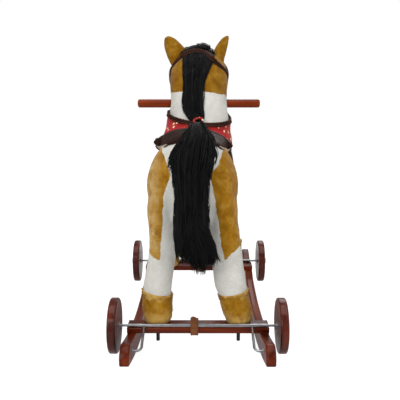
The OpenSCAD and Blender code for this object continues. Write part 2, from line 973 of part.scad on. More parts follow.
module skirt_outline() {
    corner = 0.12 * body_h;
    polygon([
        [skirt_rear, beam_top + body_h],
        [skirt_rear, skirt_low + 2 * corner],
        [skirt_rear + corner, skirt_low + corner / 2],
        [skirt_rear + 2 * corner, skirt_low],
        [skirt_front - 2 * corner, skirt_low],
        [skirt_front - corner / 2, skirt_low + corner],
        [skirt_front, skirt_low + 3 * corner],
        [skirt_front, beam_top + body_h]
    ]);
}

module saddle_skirt() {
    color("#3a2420")
    soft() intersection() {
        difference() {
            body_form(gap + skirt_t);
            body_form(gap);
            neck_form(rein_under + leather_t + 2 * gap);
            for (side = [-1, 1])
                on_rivet(side) bar_x(-rivet_x, rivet_x, rivet_d + 2 * gap, $fn = 16);
        }
        across(-base_w, 2 * base_w) skirt_outline();
    }
}

seat_y = (skirt_rear + skirt_front) / 2;

module saddle_seat() {
    color("#3a2420")
    soft() intersection() {
        difference() {
            body_form(2 * gap + skirt_t + seat_pad);
            body_form(2 * gap + skirt_t);
            neck_form(rein_under + leather_t + 2 * gap);
            cantle_form(gap);
        }
        translate([0, seat_y, body_z])
            scale([0.36 * body_w, (skirt_front - skirt_rear) / 2 - seat_pad / 2, 1])
                cylinder(r = 1, h = body_h, $fn = 40);
    }
}

// Cantle across the back: [share of half width, share of height, drop below the crown]
cantle_rows = [[-1.00, 0.42, 1.00], [-0.96, 0.72, 0.93], [-0.75, 0.90, 0.60], [-0.40, 1.00, 0.20], [0.00, 1.05, 0.00]];
cantle_drop = 0.19 * body_h;
cantle_z = body_z + 0.52 * body_h;

module cantle_form(grow = 0) {
    half = [
        for (r = cantle_rows)
            [0, r[0] * cantle_w / 2, cantle_z - r[2] * cantle_drop, 0.42 * cantle_h, r[1] * cantle_h / 2]
    ];
    other = [for (i = [len(half) - 2 : -1 : 0]) [half[i][0], -half[i][1], half[i][2], half[i][3], half[i][4]]];
    translate([0, skirt_rear + 0.2 * cantle_h, 0])
        rotate([0, 0, -90])
            form(smooth(concat(half, other), 2), 12, grow);
}

module saddle_cantle() {
    color("#3a2420")
    soft() difference() {
        cantle_form();
        body_form(2 * gap + skirt_t);
    }
}

module girth() {
    color("#3a2420")
    soft() intersection() {
        difference() {
            body_form(gap + leather_t);
            body_form(gap);
        }
        translate([-base_w, seat_y - girth_w / 2, 0]) cube([2 * base_w, girth_w, skirt_low - gap]);
    }
}

// Bridle, reins and bandana

bit_at = on_head(0.66 * head_len, -0.08 * head_d);
crown_at = on_head(-0.135 * head_len, 0.25 * head_d);
crown_angle = atan2(bit_at[1] - crown_at[1], bit_at[0] - crown_at[0]);

module bridle_zone(grow) {
    strap = leather_w + 2 * grow;
    // Noseband round the muzzle, just behind the bit
    slab(on_head(0.60 * head_len, 0), 90 - head_dip, strap, head_d);
    // Crown piece behind the ears and cheek pieces down to the bit
    intersection() {
        slab((bit_at + crown_at) / 2, crown_angle, strap, head_len);
        slab(on_head(0.3 * head_len, 0.5 * head_d), -head_dip, 1.2 * head_d, head_len);
    }
    // Brow band in front of the ears
    intersection() {
        slab(on_head(0.20 * head_len, 0), 90 - head_dip, strap, head_d);
        slab(on_head(0.20 * head_len, 0.58 * head_d), -head_dip, head_d, head_len);
    }
}

module bridle_shell(grow = 0) {
    intersection() {
        difference() {
            head_form(gap + leather_t + grow);
            head_form(gap - grow);
        }
        bridle_zone(grow);
    }
}

module bridle() {
    color("#3a2420")
    soft() difference() {
        bridle_shell();
        neck_form(gap);
    }
}

ring_wire = 0.14 * ring_d;
ring_x = 0.362 * head_w + leather_t + 2 * gap + ring_wire / 2;

module bit_ring(grow = 0) {
    translate([ring_x, bit_at[0], bit_at[1]])
        rotate([0, 90, 0])
            rotate_extrude() translate([(ring_d - ring_wire) / 2, 0]) circle(d = ring_wire + 2 * grow);
}

module bit_rings() {
    color("silver")
    for (side = [0, 1])
        mirror([side, 0, 0]) bit_ring();
}

// The reins pass behind the neck in a plane that rises forward from the nape
rein_rise = 20;
rein_nape = neck_foot + 0.215 * neck_len * neck_dir - 0.59 * neck_d * [neck_dir[1], -neck_dir[0]];
rein_under = gap + cloth_t + gap;
rein_reach = 0.52 * neck_d;

module rein_band(grow = 0) {
    intersection() {
        difference() {
            neck_form(rein_under + leather_t + grow);
            neck_form(rein_under - grow);
        }
        slab(
            rein_nape + rein_reach / 2 * [cos(rein_rise), sin(rein_rise)],
            rein_rise, leather_w + 2 * grow, rein_reach
        );
    }
}

// One rein from the neck's side to its bit ring
module free_rein() {
    start = rein_nape + 1.42 * rein_reach * [cos(rein_rise), sin(rein_rise)];
    finish = bit_at - ring_d / 3 * [1, 1];
    side_x = neck_w / 2 + rein_under + leather_t / 2;
    form([
        for (t = [0 : 0.125 : 1])
            let (p = start + t * (finish - start))
            [
                side_x + pow(t, 1.4) * (ring_x - side_x), p[0], p[1] - 4 * ring_d / 3 * t * (1 - t),
                leather_t / 2, leather_w / 2
            ]
    ], 8);
}

module reins() {
    color("#3a2420")
    soft() difference() {
        union() {
            rein_band();
            for (side = [0, 1])
                mirror([side, 0, 0]) free_rein();
        }
        body_form(gap);
        neck_form(gap);
        for (side = [0, 1])
            mirror([side, 0, 0]) bit_ring(gap, $fn = 16);
    }
}

module bandana_zone() {
    along_neck()
        translate([-base_w, -neck_d, 0.10 * neck_len])
            cube([2 * base_w, 2 * neck_d, 0.21 * neck_len]);
    // Triangle that hangs down the chest
    point_z = body_z - 0.10 * body_h;
    top_z = beam_top + 0.12 * neck_len;
    translate([0, neck_y + neck_d, 0])
        rotate([90, 0, 0])
            linear_extrude(neck_d)
                mirror([0, 0, 1])
                    polygon([[-0.52 * neck_w, top_z], [0.52 * neck_w, top_z], [0, point_z]]);
}

module bandana() {
    color("#b8261f")
    soft() difference() {
        intersection() {
            union() {
                neck_form(gap + cloth_t);
                body_form(gap + cloth_t);
            }
            bandana_zone();
        }
        neck_form(gap);
        body_form(gap);
        for (side = [-1, 1])
            leg_form(1, side, gap);
        saddle_skirt_space();
    }
}

// Room that the saddle needs where the bandana meets it
module saddle_skirt_space() {
    intersection() {
        body_form(3 * gap + skirt_t + seat_pad);
        across(-base_w, 2 * base_w) skirt_outline();
    }
}

module bandana_knot() {
    cord = knot_d / 4;
    color("#b8261f")
    soft() difference() {
        along_neck()
            translate([0, -0.545 * neck_d - cloth_t - cord / 3, 0.272 * neck_len])
                rotate([90, 0, 0])
                    rotate_extrude($fn = 20)
                        translate([knot_d / 2 - cord / 2, 0]) circle(d = cord, $fn = 10);
        neck_form(gap);
        mane_form(gap);
        rein_band(gap);
        bandana_shell(gap);
    }
}

module bandana_shell(grow) {
    intersection() {
        neck_form(gap + cloth_t + grow);
        bandana_zone();
    }
}

// Stirrups

rivet_x = 0.83 * body_w / 2 + gap + skirt_t;
rivet_z = skirt_low + 0.08 * body_h;
stirrup_y = seat_y;

module on_rivet(side) {
    mirror([side > 0 ? 0 : 1, 0, 0]) translate([rivet_x, stirrup_y, rivet_z]) children();
}

module stirrup_rivets() {
    color("silver")
    for (side = [-1, 1])
        on_rivet(side) {
            bar_x(-2 * skirt_t, leather_t + 2 * gap, rivet_d);
            translate([leather_t + 2 * gap, 0, 0]) bar_x(0, leather_t / 2, 2 * rivet_d);
        }
}

module stirrup_leather(side) {
    color("#3a2420")
    on_rivet(side)
        translate([gap, 0, 0])
            difference() {
                union() {
                    bar_x(0, leather_t, 2 * leather_w);
                    translate([0, -leather_w, -leather_len - bow_t])
                        cube([leather_t, 2 * leather_w, leather_len + bow_t]);
                }
                bar_x(-over, leather_t + over, rivet_d + 2 * run);
            }
}

module stirrup_bow(side) {
    size = [stirrup_w, stirrup_h];
    arch = size[0] / 2;
    color("#2a1a16")
    on_rivet(side)
        translate([gap + leather_t / 2 - tread_w / 2, 0, -leather_len - size[1]])
            difference() {
                across(0, tread_w) difference() {
                    union() {
                        translate([0, size[1] - arch]) circle(arch);
                        translate([-arch, 0]) square([size[0], size[1] - arch]);
                    }
                    translate([0, size[1] - arch]) circle(arch - bow_t);
                    translate([-arch + bow_t, bow_t]) square([size[0] - 2 * bow_t, size[1] - arch - bow_t]);
                }
                translate([-over, -size[0], bow_t * 2])
                    cube([0.2 * tread_w + over, 2 * size[0], size[1]]);
                translate([0.8 * tread_w, -size[0], bow_t * 2])
                    cube([0.2 * tread_w + over, 2 * size[0], size[1]]);
                // Slot that takes the end of the leather
                translate([(tread_w - leather_t) / 2 - run, -leather_w - run, size[1] / 2])
                    cube([leather_t + 2 * run, 2 * (leather_w + run), size[1]]);
            }
}

rocker(-1);  // rocker_left
rocker(1);  // rocker_right
plank(-1);  // rear_plank
plank(1);  // front_plank
plank_screws();
wheel_frame(-1);  // rear_wheel_frame
wheel_frame(1);  // front_wheel_frame
pivot_bushes();
wheel(-1, -1);  // wheel_rear_left
wheel(-1, 1);  // wheel_rear_right
wheel(1, -1);  // wheel_front_left
wheel(1, 1);  // wheel_front_right
axle_washers(-1);  // rear_axle_washers
axle_washers(1);  // front_axle_washers
axle_caps(-1);  // rear_axle_caps
axle_caps(1);  // front_axle_caps
hold_strap(-1);  // rear_strap
hold_strap(1);  // front_strap
strap_studs();
leg_bolts();
leg_nuts();
leg_post(-1, -1);  // leg_post_rear_left
leg_post(-1, 1);  // leg_post_rear_right
leg_post(1, -1);  // leg_post_front_left
leg_post(1, 1);  // leg_post_front_right
body_beam();
neck_post_piece();  // neck_post
handle_bar();
body_plush();
neck_plush();
head_plush();
leg_plush(-1, -1);  // leg_rear_left
leg_plush(-1, 1);  // leg_rear_right
leg_plush(1, -1);  // leg_front_left
leg_plush(1, 1);  // leg_front_right
hoof(-1, -1);  // hoof_rear_left
hoof(-1, 1);  // hoof_rear_right
hoof(1, -1);  // hoof_front_left
hoof(1, 1);  // hoof_front_right
ear(-1);  // ear_left
ear(1);  // ear_right
eyes();
mane();
forelock();
tail();
saddle_skirt();
saddle_seat();
saddle_cantle();
girth();
bridle();
bit_rings();
reins();
bandana();
bandana_knot();
stirrup_rivets();
stirrup_leather(-1);  // stirrup_leather_left
stirrup_leather(1);  // stirrup_leather_right
stirrup_bow(-1);  // stirrup_left
stirrup_bow(1);  // stirrup_right
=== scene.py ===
import math

import bpy
import bmesh
import numpy as np
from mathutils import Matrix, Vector, geometry, noise
from mathutils.bvhtree import BVHTree


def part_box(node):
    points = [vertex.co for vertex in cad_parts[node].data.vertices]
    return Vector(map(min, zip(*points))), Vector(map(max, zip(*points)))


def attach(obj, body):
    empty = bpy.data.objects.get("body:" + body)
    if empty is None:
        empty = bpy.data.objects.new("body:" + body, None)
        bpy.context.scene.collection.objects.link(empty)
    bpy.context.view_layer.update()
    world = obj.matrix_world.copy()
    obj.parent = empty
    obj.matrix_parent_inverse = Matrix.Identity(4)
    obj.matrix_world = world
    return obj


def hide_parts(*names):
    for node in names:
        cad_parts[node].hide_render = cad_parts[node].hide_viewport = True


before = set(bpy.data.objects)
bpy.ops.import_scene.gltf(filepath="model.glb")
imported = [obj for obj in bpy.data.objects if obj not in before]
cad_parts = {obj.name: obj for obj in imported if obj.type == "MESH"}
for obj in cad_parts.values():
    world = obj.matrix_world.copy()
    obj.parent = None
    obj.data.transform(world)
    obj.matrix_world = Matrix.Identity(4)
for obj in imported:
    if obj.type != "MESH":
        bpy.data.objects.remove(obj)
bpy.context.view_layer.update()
rng = np.random.default_rng(7)

# Sizes that the soft pieces share with the solids, in millimetres
MM = 0.001
X, Y, Z = np.eye(3)
BODY_Z, BODY_LEN, BODY_W, BODY_H = 375.24, 430.0, 204.0, 230.0
PLANK_TOP, HOOF_H, HOOF_W, HOOF_D, LEG_W = 78.24, 78.0, 66.0, 58.0, 61.0
FOOT = np.array([90.0, 197.0, 156.54])
HIP = np.array([62.0, 150.0, 345.24])
NECK_W, NECK_D, NECK_LEN, NECK_LEAN = 160.0, 128.0, 296.0, math.radians(22.5)
HEAD_W, HEAD_D, HEAD_LEN, HEAD_DIP = 160.0, 146.0, 190.0, math.radians(42)
NECK_FOOT = np.array([0.0, 96.0, 405.24])
NECK_DIR = np.array([0.0, math.sin(NECK_LEAN), math.cos(NECK_LEAN)])
NECK_FRONT = np.array([0.0, math.cos(NECK_LEAN), -math.sin(NECK_LEAN)])
HEAD_DIR = np.array([0.0, math.cos(HEAD_DIP), -math.sin(HEAD_DIP)])
HEAD_UP = np.array([0.0, math.sin(HEAD_DIP), math.cos(HEAD_DIP)])
POLL = NECK_FOOT + 262.0 * NECK_DIR
BIT = POLL + 125.4 * HEAD_DIR - 11.7 * HEAD_UP
LEATHER_W, LEATHER_T = 12.0, 2.6
END_NAMES, SIDE_NAMES = {-1: "rear", 1: "front"}, {-1: "left", 1: "right"}
CORNERS = [f"{end}_{side}" for end in END_NAMES.values() for side in SIDE_NAMES.values()]

# Where the horse is looked at from, and how the view is turned
VIEW = np.array([7.4, -1365.7, 598.3])
VIEW_TURN = (math.radians(78.2355), 0.0, math.radians(0.1604))
LENS, SENSOR = 50.4, 36.0


def new_object(name, data):
    obj = bpy.data.objects.new(name, data)
    bpy.context.scene.collection.objects.link(obj)
    return obj


def make_camera():
    data = bpy.data.cameras.new("view")
    data.lens = LENS
    data.sensor_width = SENSOR
    camera = new_object("view", data)
    camera.location = VIEW * MM
    camera.rotation_euler = VIEW_TURN
    bpy.context.scene.camera = camera


# Curves and meshes


def smoothstep(low, high, value):
    t = np.clip((value - low) / (high - low), 0.0, 1.0)
    return t * t * (3.0 - 2.0 * t)


def unit(v):
    v = np.asarray(v, float)
    return v / np.linalg.norm(v, axis=-1, keepdims=True)


def circle(count):
    """Angles of points spread evenly round a circle."""
    return 2 * np.pi * np.arange(count) / count


def arch(low, count):
    """Half a wave, cut off by an angle at both ends."""
    return np.sin(np.linspace(low, np.pi - low, count))


def relax(path, times):
    """The same path with its inner points drawn toward their neighbours."""
    for _ in range(times):
        path[1:-1] = 0.5 * path[1:-1] + 0.25 * (path[:-2] + path[2:])
    return path


def smooth_rows(rows, steps):
    """Stations filled in between by a Catmull-Rom curve."""
    rows = np.array(rows, float)
    last = len(rows) - 1
    out = []
    for i in range(last):
        a, b, c, d = rows[max(i - 1, 0)], rows[i], rows[i + 1], rows[min(i + 2, last)]
        slope, bend, twist = c - a, 2 * a - 5 * b + 4 * c - d, 3 * b - a - 3 * c + d
        for t in np.arange(steps) / steps:
            out.append(b + 0.5 * (slope * t + bend * t**2 + twist * t**3))
    out.append(rows[last])
    return np.array(out)


def resample(path, steps):
    """The same path at even distances."""
    path = np.asarray(path, float)
    run = np.concatenate([[0], np.cumsum(np.linalg.norm(np.diff(path, axis=0), axis=1))])
    at = np.linspace(0, run[-1], steps)
    return np.stack([np.interp(at, run, path[:, k]) for k in range(path.shape[1])], -1)


def tube_faces(rings, sides, start=0, loop=False):
    """Faces of a tube of rings, with two caps or joined into a loop."""
    faces = []
    for i in range(rings if loop else rings - 1):
        here, there = start + i * sides, start + (i + 1) % rings * sides
        for k in range(sides):
            n = (k + 1) % sides
            faces.append((here + k, there + k, there + n, here + n))
    if not loop:
        faces.append(tuple(start + k for k in range(sides)))
        faces.append(tuple(start + (rings - 1) * sides + k for k in reversed(range(sides))))
    return faces


def loft(rows, sides):
    """Closed form through stations [x, y, z, half width, half thickness], each an ellipse."""
    rows = np.array(rows, float)
    along = unit(np.gradient(rows[:, 1:3], axis=0))
    t = circle(sides)
    up = rows[:, 4, None] * np.sin(t)
    x = rows[:, 0, None] + rows[:, 3, None] * np.cos(t)
    y = rows[:, 1, None] - up * along[:, 1, None]
    z = rows[:, 2, None] + up * along[:, 0, None]
    return np.stack([x, y, z], -1).reshape(-1, 3), tube_faces(len(rows), sides)


def shell(outer, inner):
    """Closed sheet between two grids of points with the same rows and columns."""
    rows, cols = outer.shape[:2]
    far = rows * cols
    faces = []
    for i in range(rows - 1):
        for a in range(i * cols, i * cols + cols - 1):
            faces.append((a, a + 1, a + cols + 1, a + cols))
            faces.append((far + a, far + a + cols, far + a + cols + 1, far + a + 1))
    grid = np.arange(far).reshape(rows, cols)
    rim = np.concatenate([grid[0], grid[1:, -1], grid[-1, -2::-1], grid[-2:0:-1, 0]]).tolist()
    for a, b in zip(rim, rim[1:] + rim[:1]):
        faces.append((a, far + a, far + b, b))
    return np.concatenate([outer.reshape(-1, 3), inner.reshape(-1, 3)]), faces


def strands(paths, radii, sides=3):
    """Many thin closed strands: paths (count, steps, 3) with a radius at each point."""
    paths = np.asarray(paths, float)
    count, steps = paths.shape[:2]
    radii = np.broadcast_to(radii, (count, steps))
    along = unit(np.gradient(paths, axis=1) + 1e-9)
    guide = np.where(np.abs(along[..., :1]) < 0.8, X, Y)
    side = unit(np.cross(along, guide))
    up = np.cross(side, along)
    t = circle(sides)
    ring = np.cos(t)[:, None] * side[:, :, None] + np.sin(t)[:, None] * up[:, :, None]
    points = paths[:, :, None] + radii[:, :, None, None] * ring
    faces = []
    for i in range(count):
        faces += tube_faces(steps, sides, i * steps * sides)
    return points.reshape(-1, 3), faces


# Strap section as [share of width, share of thickness], with rounded edges
STRAP_SECTION = [
    (-0.5, 0.3), (-0.44, 0.0), (0.44, 0.0), (0.5, 0.3), (0.5, 0.75),
    (0.44, 1.0), (0.0, 1.08), (-0.44, 1.0), (-0.5, 0.75),
]


def ribbon(path, outward, width, thick, loop=False):
    """A flat strap along a path, standing on the side that outward points to."""
    path, outward = np.asarray(path, float), unit(outward)
    along = np.roll(path, -1, 0) - np.roll(path, 1, 0) if loop else np.gradient(path, axis=0)
    side = unit(np.cross(unit(along), outward)) * np.broadcast_to(width, len(path))[:, None]
    points = np.stack([path + side * s + outward * thick * h for s, h in STRAP_SECTION], 1)
    return points.reshape(-1, 3), tube_faces(*points.shape[:2], loop=loop)


def stitch_row(path, outward, width, thick, inset=2.0, edges=(-1, 1)):
    """Thread stitches along the edges of a strap."""
    pitch, bite, crown, thread = 4.6, 0.3, 0.45, 0.7
    path, outward = np.asarray(path, float), unit(outward)
    length = np.linalg.norm(np.diff(path, axis=0), axis=1).sum()
    count = max(int(length / pitch), 2)
    both = resample(np.hstack([path, outward]), 4 * count + 1)
    line, out = both[:, :3], unit(both[:, 3:])
    side = unit(np.cross(unit(np.gradient(line, axis=0)), out))
    rows = []
    for edge in edges:
        seam = line + side * edge * (width / 2 - inset) + out * thick
        # A stitch goes in, over and in again, and leaves a quarter of the pitch free
        low, high = seam - bite * out, seam + crown * out
        rows += [[low[k], high[k + 1], low[k + 2]] for k in range(0, 4 * count, 4)]
    return strands(rows, thread, 4)


def join(parts):
    points, faces, start = [], [], 0
    for p, f in parts:
        points.append(np.asarray(p))
        faces += [tuple(start + i for i in face) for face in f]
        start += len(p)
    return np.concatenate(points), faces


def new_mesh(name, points, faces):
    mesh = bpy.data.meshes.new(name)
    mesh.from_pydata((np.asarray(points) * MM).tolist(), [], faces)
    return mesh


def place(name, mesh, look, nodes=(), body="horse"):
    """A mesh as a piece of a body, in place of the solids that it shows."""
    mesh.polygons.foreach_set("use_smooth", [True] * len(mesh.polygons))
    mesh.materials.clear()
    mesh.materials.append(LOOKS[look])
    obj = new_object(name, mesh)
    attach(obj, body)
    if nodes:
        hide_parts(*nodes)
    return obj


def add_piece(name, shape, look, slot, *nodes, body="horse"):
    mesh = new_mesh(name, *shape)
    turned = bmesh.new()
    turned.from_mesh(mesh)
    bmesh.ops.recalc_face_normals(turned, faces=turned.faces)
    turned.to_mesh(mesh)
    turned.free()
    return place(name, mesh, look, nodes, body)


def add_leather(name, shape, look, *nodes, body="horse"):
    return add_piece(name, shape, look, "brown_leather", *nodes, body=body)


# Materials


def srgb(r, g, b):
    def linear(c):
        c /= 255.0
        return c / 12.92 if c <= 0.04045 else ((c + 0.055) / 1.055) ** 2.4
    return (linear(r), linear(g), linear(b), 1.0)


class Look:
    """One node material with its own coordinates, noises and bump."""

    def __init__(self, name, **shader):
        self.material = bpy.data.materials.new(name)
        self.material.use_nodes = True
        self.tree = self.material.node_tree
        self.shader = self.tree.nodes["Principled BSDF"]
        for socket, value in shader.items():
            self.feed(self.shader.inputs[socket.replace("_", " ")], value)
        self.coords = self.make("TexCoord", "Object", {})

    def feed(self, socket, value):
        """A number, a colour or the output of another node into a socket."""
        if isinstance(value, bpy.types.NodeSocket):
            self.tree.links.new(value, socket)
        else:
            socket.default_value = value

    def make(self, kind, output, inputs, **settings):
        """One output of a new node, by name or place."""
        node = self.tree.nodes.new("ShaderNode" + kind)
        for key, value in settings.items():
            setattr(node, key, value)
        for key, value in inputs.items():
            self.feed(node.inputs[key], value)
        return node.outputs[output]

    def noise(self, scale, detail=3.0, rough=0.55, stretch=None, distort=0.0):
        inputs = {"Scale": scale, "Detail": detail, "Roughness": rough, "Distortion": distort}
        inputs["Vector"] = self.coords
        if stretch:
            inputs["Vector"] = self.make("Mapping", "Vector", {"Vector": self.coords, "Scale": stretch})
        return self.make("TexNoise", "Fac", inputs)

    def cells(self, scale):
        return self.make("TexVoronoi", "Distance", {"Vector": self.coords, "Scale": scale})

    def attribute(self, name):
        return self.make("Attribute", "Fac", {}, attribute_name=name)

    def axis(self, name):
        return self.make("SeparateXYZ", name, {"Vector": self.coords})

    def span(self, value, low, high, to_low=0.0, to_high=1.0):
        inputs = {"Value": value, "From Min": low, "From Max": high, "To Min": to_low, "To Max": to_high}
        return self.make("MapRange", "Result", inputs)

    def maths(self, how, a, b):
        return self.make("Math", "Value", {0: a, 1: b}, operation=how)

    def mix(self, share, a, b, how="MIX"):
        # The colour sockets come after those for numbers and vectors
        return self.make("Mix", 2, {0: share, 6: a, 7: b}, data_type="RGBA", blend_type=how)

    def ramp(self, value, *stops):
        """Colours at places along a value, given as place, colour, place, colour and so on."""
        made = self.make("ValToRGB", "Color", {"Fac": value})
        ends = made.node.color_ramp.elements
        while len(ends) < len(stops) // 2:
            ends.new(0.5)
        for end, spot, colour in zip(ends, stops[::2], stops[1::2]):
            end.position = spot
            end.color = colour
        return made

    def darkened(self, base, share, value, low, high, tint):
        """A base colour under a tint that fades out as the value rises from low to high."""
        shade = self.ramp(value, low, (*tint, 1.0), high, (1.0, 1.0, 1.0, 1.0))
        return self.mix(share, base, shade, "MULTIPLY")

    def colour(self, source):
        self.feed(self.shader.inputs["Base Color"], source)

    def roughness(self, value, low, high):
        self.feed(self.shader.inputs["Roughness"], self.span(value, 0.25, 0.75, low, high))

    def rounded(self, radius):
        """Edges that catch the light as if they were rounded."""
        normal = self.make("Bevel", "Normal", {"Radius": radius}, samples=8)
        self.feed(self.shader.inputs["Normal"], normal)

    def bump(self, height, depth, strength=1.0):
        """Relief on top of the relief that is there already."""
        inputs = {"Strength": strength, "Distance": depth, "Height": height}
        before = self.shader.inputs["Normal"].links
        if before:
            inputs["Normal"] = before[0].from_socket
        self.feed(self.shader.inputs["Normal"], self.make("Bump", "Normal", inputs))


def along_grain(grain, along, across):
    """Noise scale that is coarse along one axis and fine across it."""
    return tuple(along if axis == grain else across for axis in "XYZ")


def wood_look(name, grain, dark, light, coat=0.10, rough=(0.26, 0.38)):
    """Stained wood; grain is the axis that the fibres run along."""
    look = Look(name, Specular_IOR_Level=0.08, Coat_Weight=coat, Coat_Roughness=0.1)
    fibres = look.noise(1.0, 5.0, 0.6, along_grain(grain, 9.0, 160.0), 0.6)
    bands = look.noise(1.0, 2.0, 0.5, along_grain(grain, 2.5, 34.0), 1.4)
    base = look.ramp(bands, 0.3, dark, 0.7, light)
    look.colour(look.darkened(base, 0.55, fibres, 0.35, 0.6, (0.55, 0.48, 0.46)))
    look.rounded(5.0 * MM)
    look.roughness(fibres, *rough)
    look.bump(fibres, 0.0003, 0.35)
    return look.material


def steel_look(name, colour, grain):
    look = Look(name, Metallic=1.0)
    lines = look.noise(1.0, 3.0, 0.6, along_grain(grain, 30.0, 900.0))
    spots = look.noise(60.0, 4.0, 0.6)
    dull = tuple(0.72 * c for c in colour[:3]) + (1.0,)
    look.colour(look.ramp(spots, 0.35, dull, 0.65, colour))
    look.roughness(lines, 0.24, 0.44)
    look.bump(lines, 0.00008, 0.3)
    return look.material


def plastic_look(name, colour):
    look = Look(name, Specular_IOR_Level=0.45)
    grain = look.noise(900.0, 2.0)
    cloud = look.noise(25.0, 3.0)
    pale = tuple(min(1.35 * c + 0.004, 1.0) for c in colour[:3]) + (1.0,)
    look.colour(look.ramp(cloud, 0.35, colour, 0.7, pale))
    look.roughness(cloud, 0.32, 0.48)
    look.bump(grain, 0.00006, 0.4)
    return look.material


def leather_look(name, colour, pale, rough=(0.38, 0.6), sheen=0.0, gloss=0.2):
    look = Look(name, Specular_IOR_Level=gloss, Sheen_Weight=sheen)
    pebbles = look.cells(620.0)
    creases_and_shade = look.noise(75.0, 5.0, 0.65, None, 0.8)
    wear = look.noise(28.0, 4.0, 0.6)
    base = look.ramp(wear, 0.32, colour, 0.72, pale)
    # Painted shade: the colour is darkened in the creases of the relief
    look.colour(look.darkened(base, 0.35, creases_and_shade, 0.35, 0.6, (0.5, 0.46, 0.44)))
    look.roughness(creases_and_shade, *rough)
    look.bump(pebbles, 0.00035, 0.5)
    look.bump(creases_and_shade, 0.0009, 0.5)
    return look.material


# Tint that makes the head, neck and ears darker and more saturated than the flanks
DEEPER = (0.76, 0.74, 0.55, 1.0)


def pile_look(name):
    return Look(name, Sheen_Weight=0.16, Sheen_Roughness=0.4, Specular_IOR_Level=0.08)


def nap(look, base):
    """Short pile over a base colour: fine mottling, tufts and their shading."""
    tufts = look.noise(420.0, 4.0, 0.7)
    lie = look.noise(46.0, 4.0, 0.62, None, 0.7)
    look.colour(look.darkened(base, 0.75, tufts, 0.3, 0.62, (0.74, 0.72, 0.70)))
    look.roughness(lie, 0.86, 1.0)
    look.bump(lie, 0.0016, 0.35)
    look.bump(tufts, 0.0012, 0.75)
    return look.material


def tan_colour(look):
    lie = look.noise(44.0, 5.0, 0.66, None, 0.3)
    return look.ramp(lie, 0.28, srgb(126, 82, 6), 0.50, srgb(154, 108, 18), 0.74, srgb(180, 140, 62))


def plush_look():
    look = pile_look("plush")
    edge = look.noise(190.0, 4.0, 0.7)
    mask = look.maths("ADD", look.attribute("tan"), look.span(edge, 0.3, 0.7, -0.24, 0.24))
    white = look.ramp(look.noise(34.0, 3.0), 0.3, srgb(194, 193, 186), 0.7, srgb(209, 208, 202))
    # Painted sheen: the outer left flank, low down, is painted a paler tan in patches, where the pile
    # catches the light
    height = look.axis("Z")
    uneven = look.span(look.noise(22.0, 3.0), 0.3, 0.7, -0.012, 0.012)
    outward = look.span(look.maths("ADD", look.axis("X"), uneven), -0.077, -0.111)
    left_sheen = look.maths("MULTIPLY", outward, look.span(height, 0.52, 0.44))
    patchy = look.span(look.noise(40.0, 4.0, 0.65), 0.38, 0.62, 0.10, 0.95)
    tan = look.mix(look.maths("MULTIPLY", left_sheen, patchy), tan_colour(look), srgb(204, 176, 118))
    deep = look.mix(1.0, tan, DEEPER, "MULTIPLY")
    tan = look.mix(look.span(height, 0.53, 0.58), tan, deep)
    return nap(look, look.mix(look.span(mask, 0.40, 0.60), white, tan))


def tan_plush_look():
    look = pile_look("tan_plush")
    return nap(look, look.mix(1.0, tan_colour(look), DEEPER, "MULTIPLY"))


def boot_look():
    look = pile_look("boot_plush")
    wavy = look.maths("ADD", look.axis("Z"), look.span(look.noise(60.0), 0.3, 0.7, -0.012, 0.012))
    # The pile is paler toward the sole and along the hem
    middle = look.maths("MULTIPLY", look.span(wavy, 0.082, 0.116), look.span(wavy, 0.152, 0.138))
    return nap(look, look.mix(middle, srgb(196, 158, 84), tan_colour(look)))


def hair_look():
    look = Look("hair", Specular_IOR_Level=0.15)
    streak = look.noise(1.0, 3.0, 0.6, along_grain("Z", 14.0, 700.0))
    shade = look.attribute("shade")
    base = look.ramp(shade, 0.0, srgb(4, 4, 5), 0.75, srgb(10, 11, 12), 1.0, srgb(30, 33, 36))
    look.colour(look.darkened(base, 0.6, streak, 0.3, 0.65, (0.45, 0.45, 0.47)))
    look.roughness(streak, 0.42, 0.62)
    look.bump(streak, 0.0002, 0.4)
    return look.material


def eye_look():
    look = Look("eye", Coat_Weight=0.2, Coat_Roughness=0.05, Specular_IOR_Level=0.3)
    fleck = look.noise(500.0, 4.0, 0.7)
    look.colour(look.ramp(fleck, 0.35, srgb(10, 6, 4), 0.75, srgb(34, 18, 10)))
    look.roughness(fleck, 0.08, 0.16)
    return look.material


def bandana_look():
    """Red cotton with small pale sprigs strewn over it."""
    look = Look("bandana_cloth", Sheen_Weight=0.12, Specular_IOR_Level=0.2)
    weave = look.noise(1500.0, 2.0)
    faded = look.noise(40.0, 3.0)
    red = look.ramp(faded, 0.3, srgb(138, 16, 18), 0.7, srgb(172, 32, 30))
    petals = look.noise(260.0, 2.0, 0.5)
    motif = look.maths("ADD", look.cells(88.0), look.span(petals, 0.3, 0.7, -0.10, 0.10))
    look.colour(look.mix(look.span(motif, 0.30, 0.24), red, srgb(238, 212, 168)))
    look.roughness(faded, 0.72, 0.9)
    look.bump(weave, 0.0003, 0.5)
    return look.material


def floor_look():
    """Plain pale floor that stays white to the eye and keeps a soft shadow."""
    look = Look("floor", Roughness=0.9)
    fine = look.noise(3.0, 2.0)
    look.colour(look.ramp(fine, 0.0, (0.80, 0.80, 0.80, 1), 1.0, (0.83, 0.83, 0.83, 1)))
    glow = look.make("Emission", "Emission", {"Strength": 0.87})
    soft = look.make("BsdfDiffuse", "BSDF", {"Color": (0.34, 0.34, 0.34, 1.0)})
    both = look.make("AddShader", "Shader", {0: glow, 1: soft})
    rays = [look.make("LightPath", f"Is {kind} Ray", {}) for kind in ("Camera", "Transmission")]
    shaders = {0: look.maths("MAXIMUM", *rays), 1: look.shader.outputs["BSDF"], 2: both}
    seen = look.make("MixShader", "Shader", shaders)
    look.feed(look.tree.nodes["Material Output"].inputs["Surface"], seen)
    return look.material


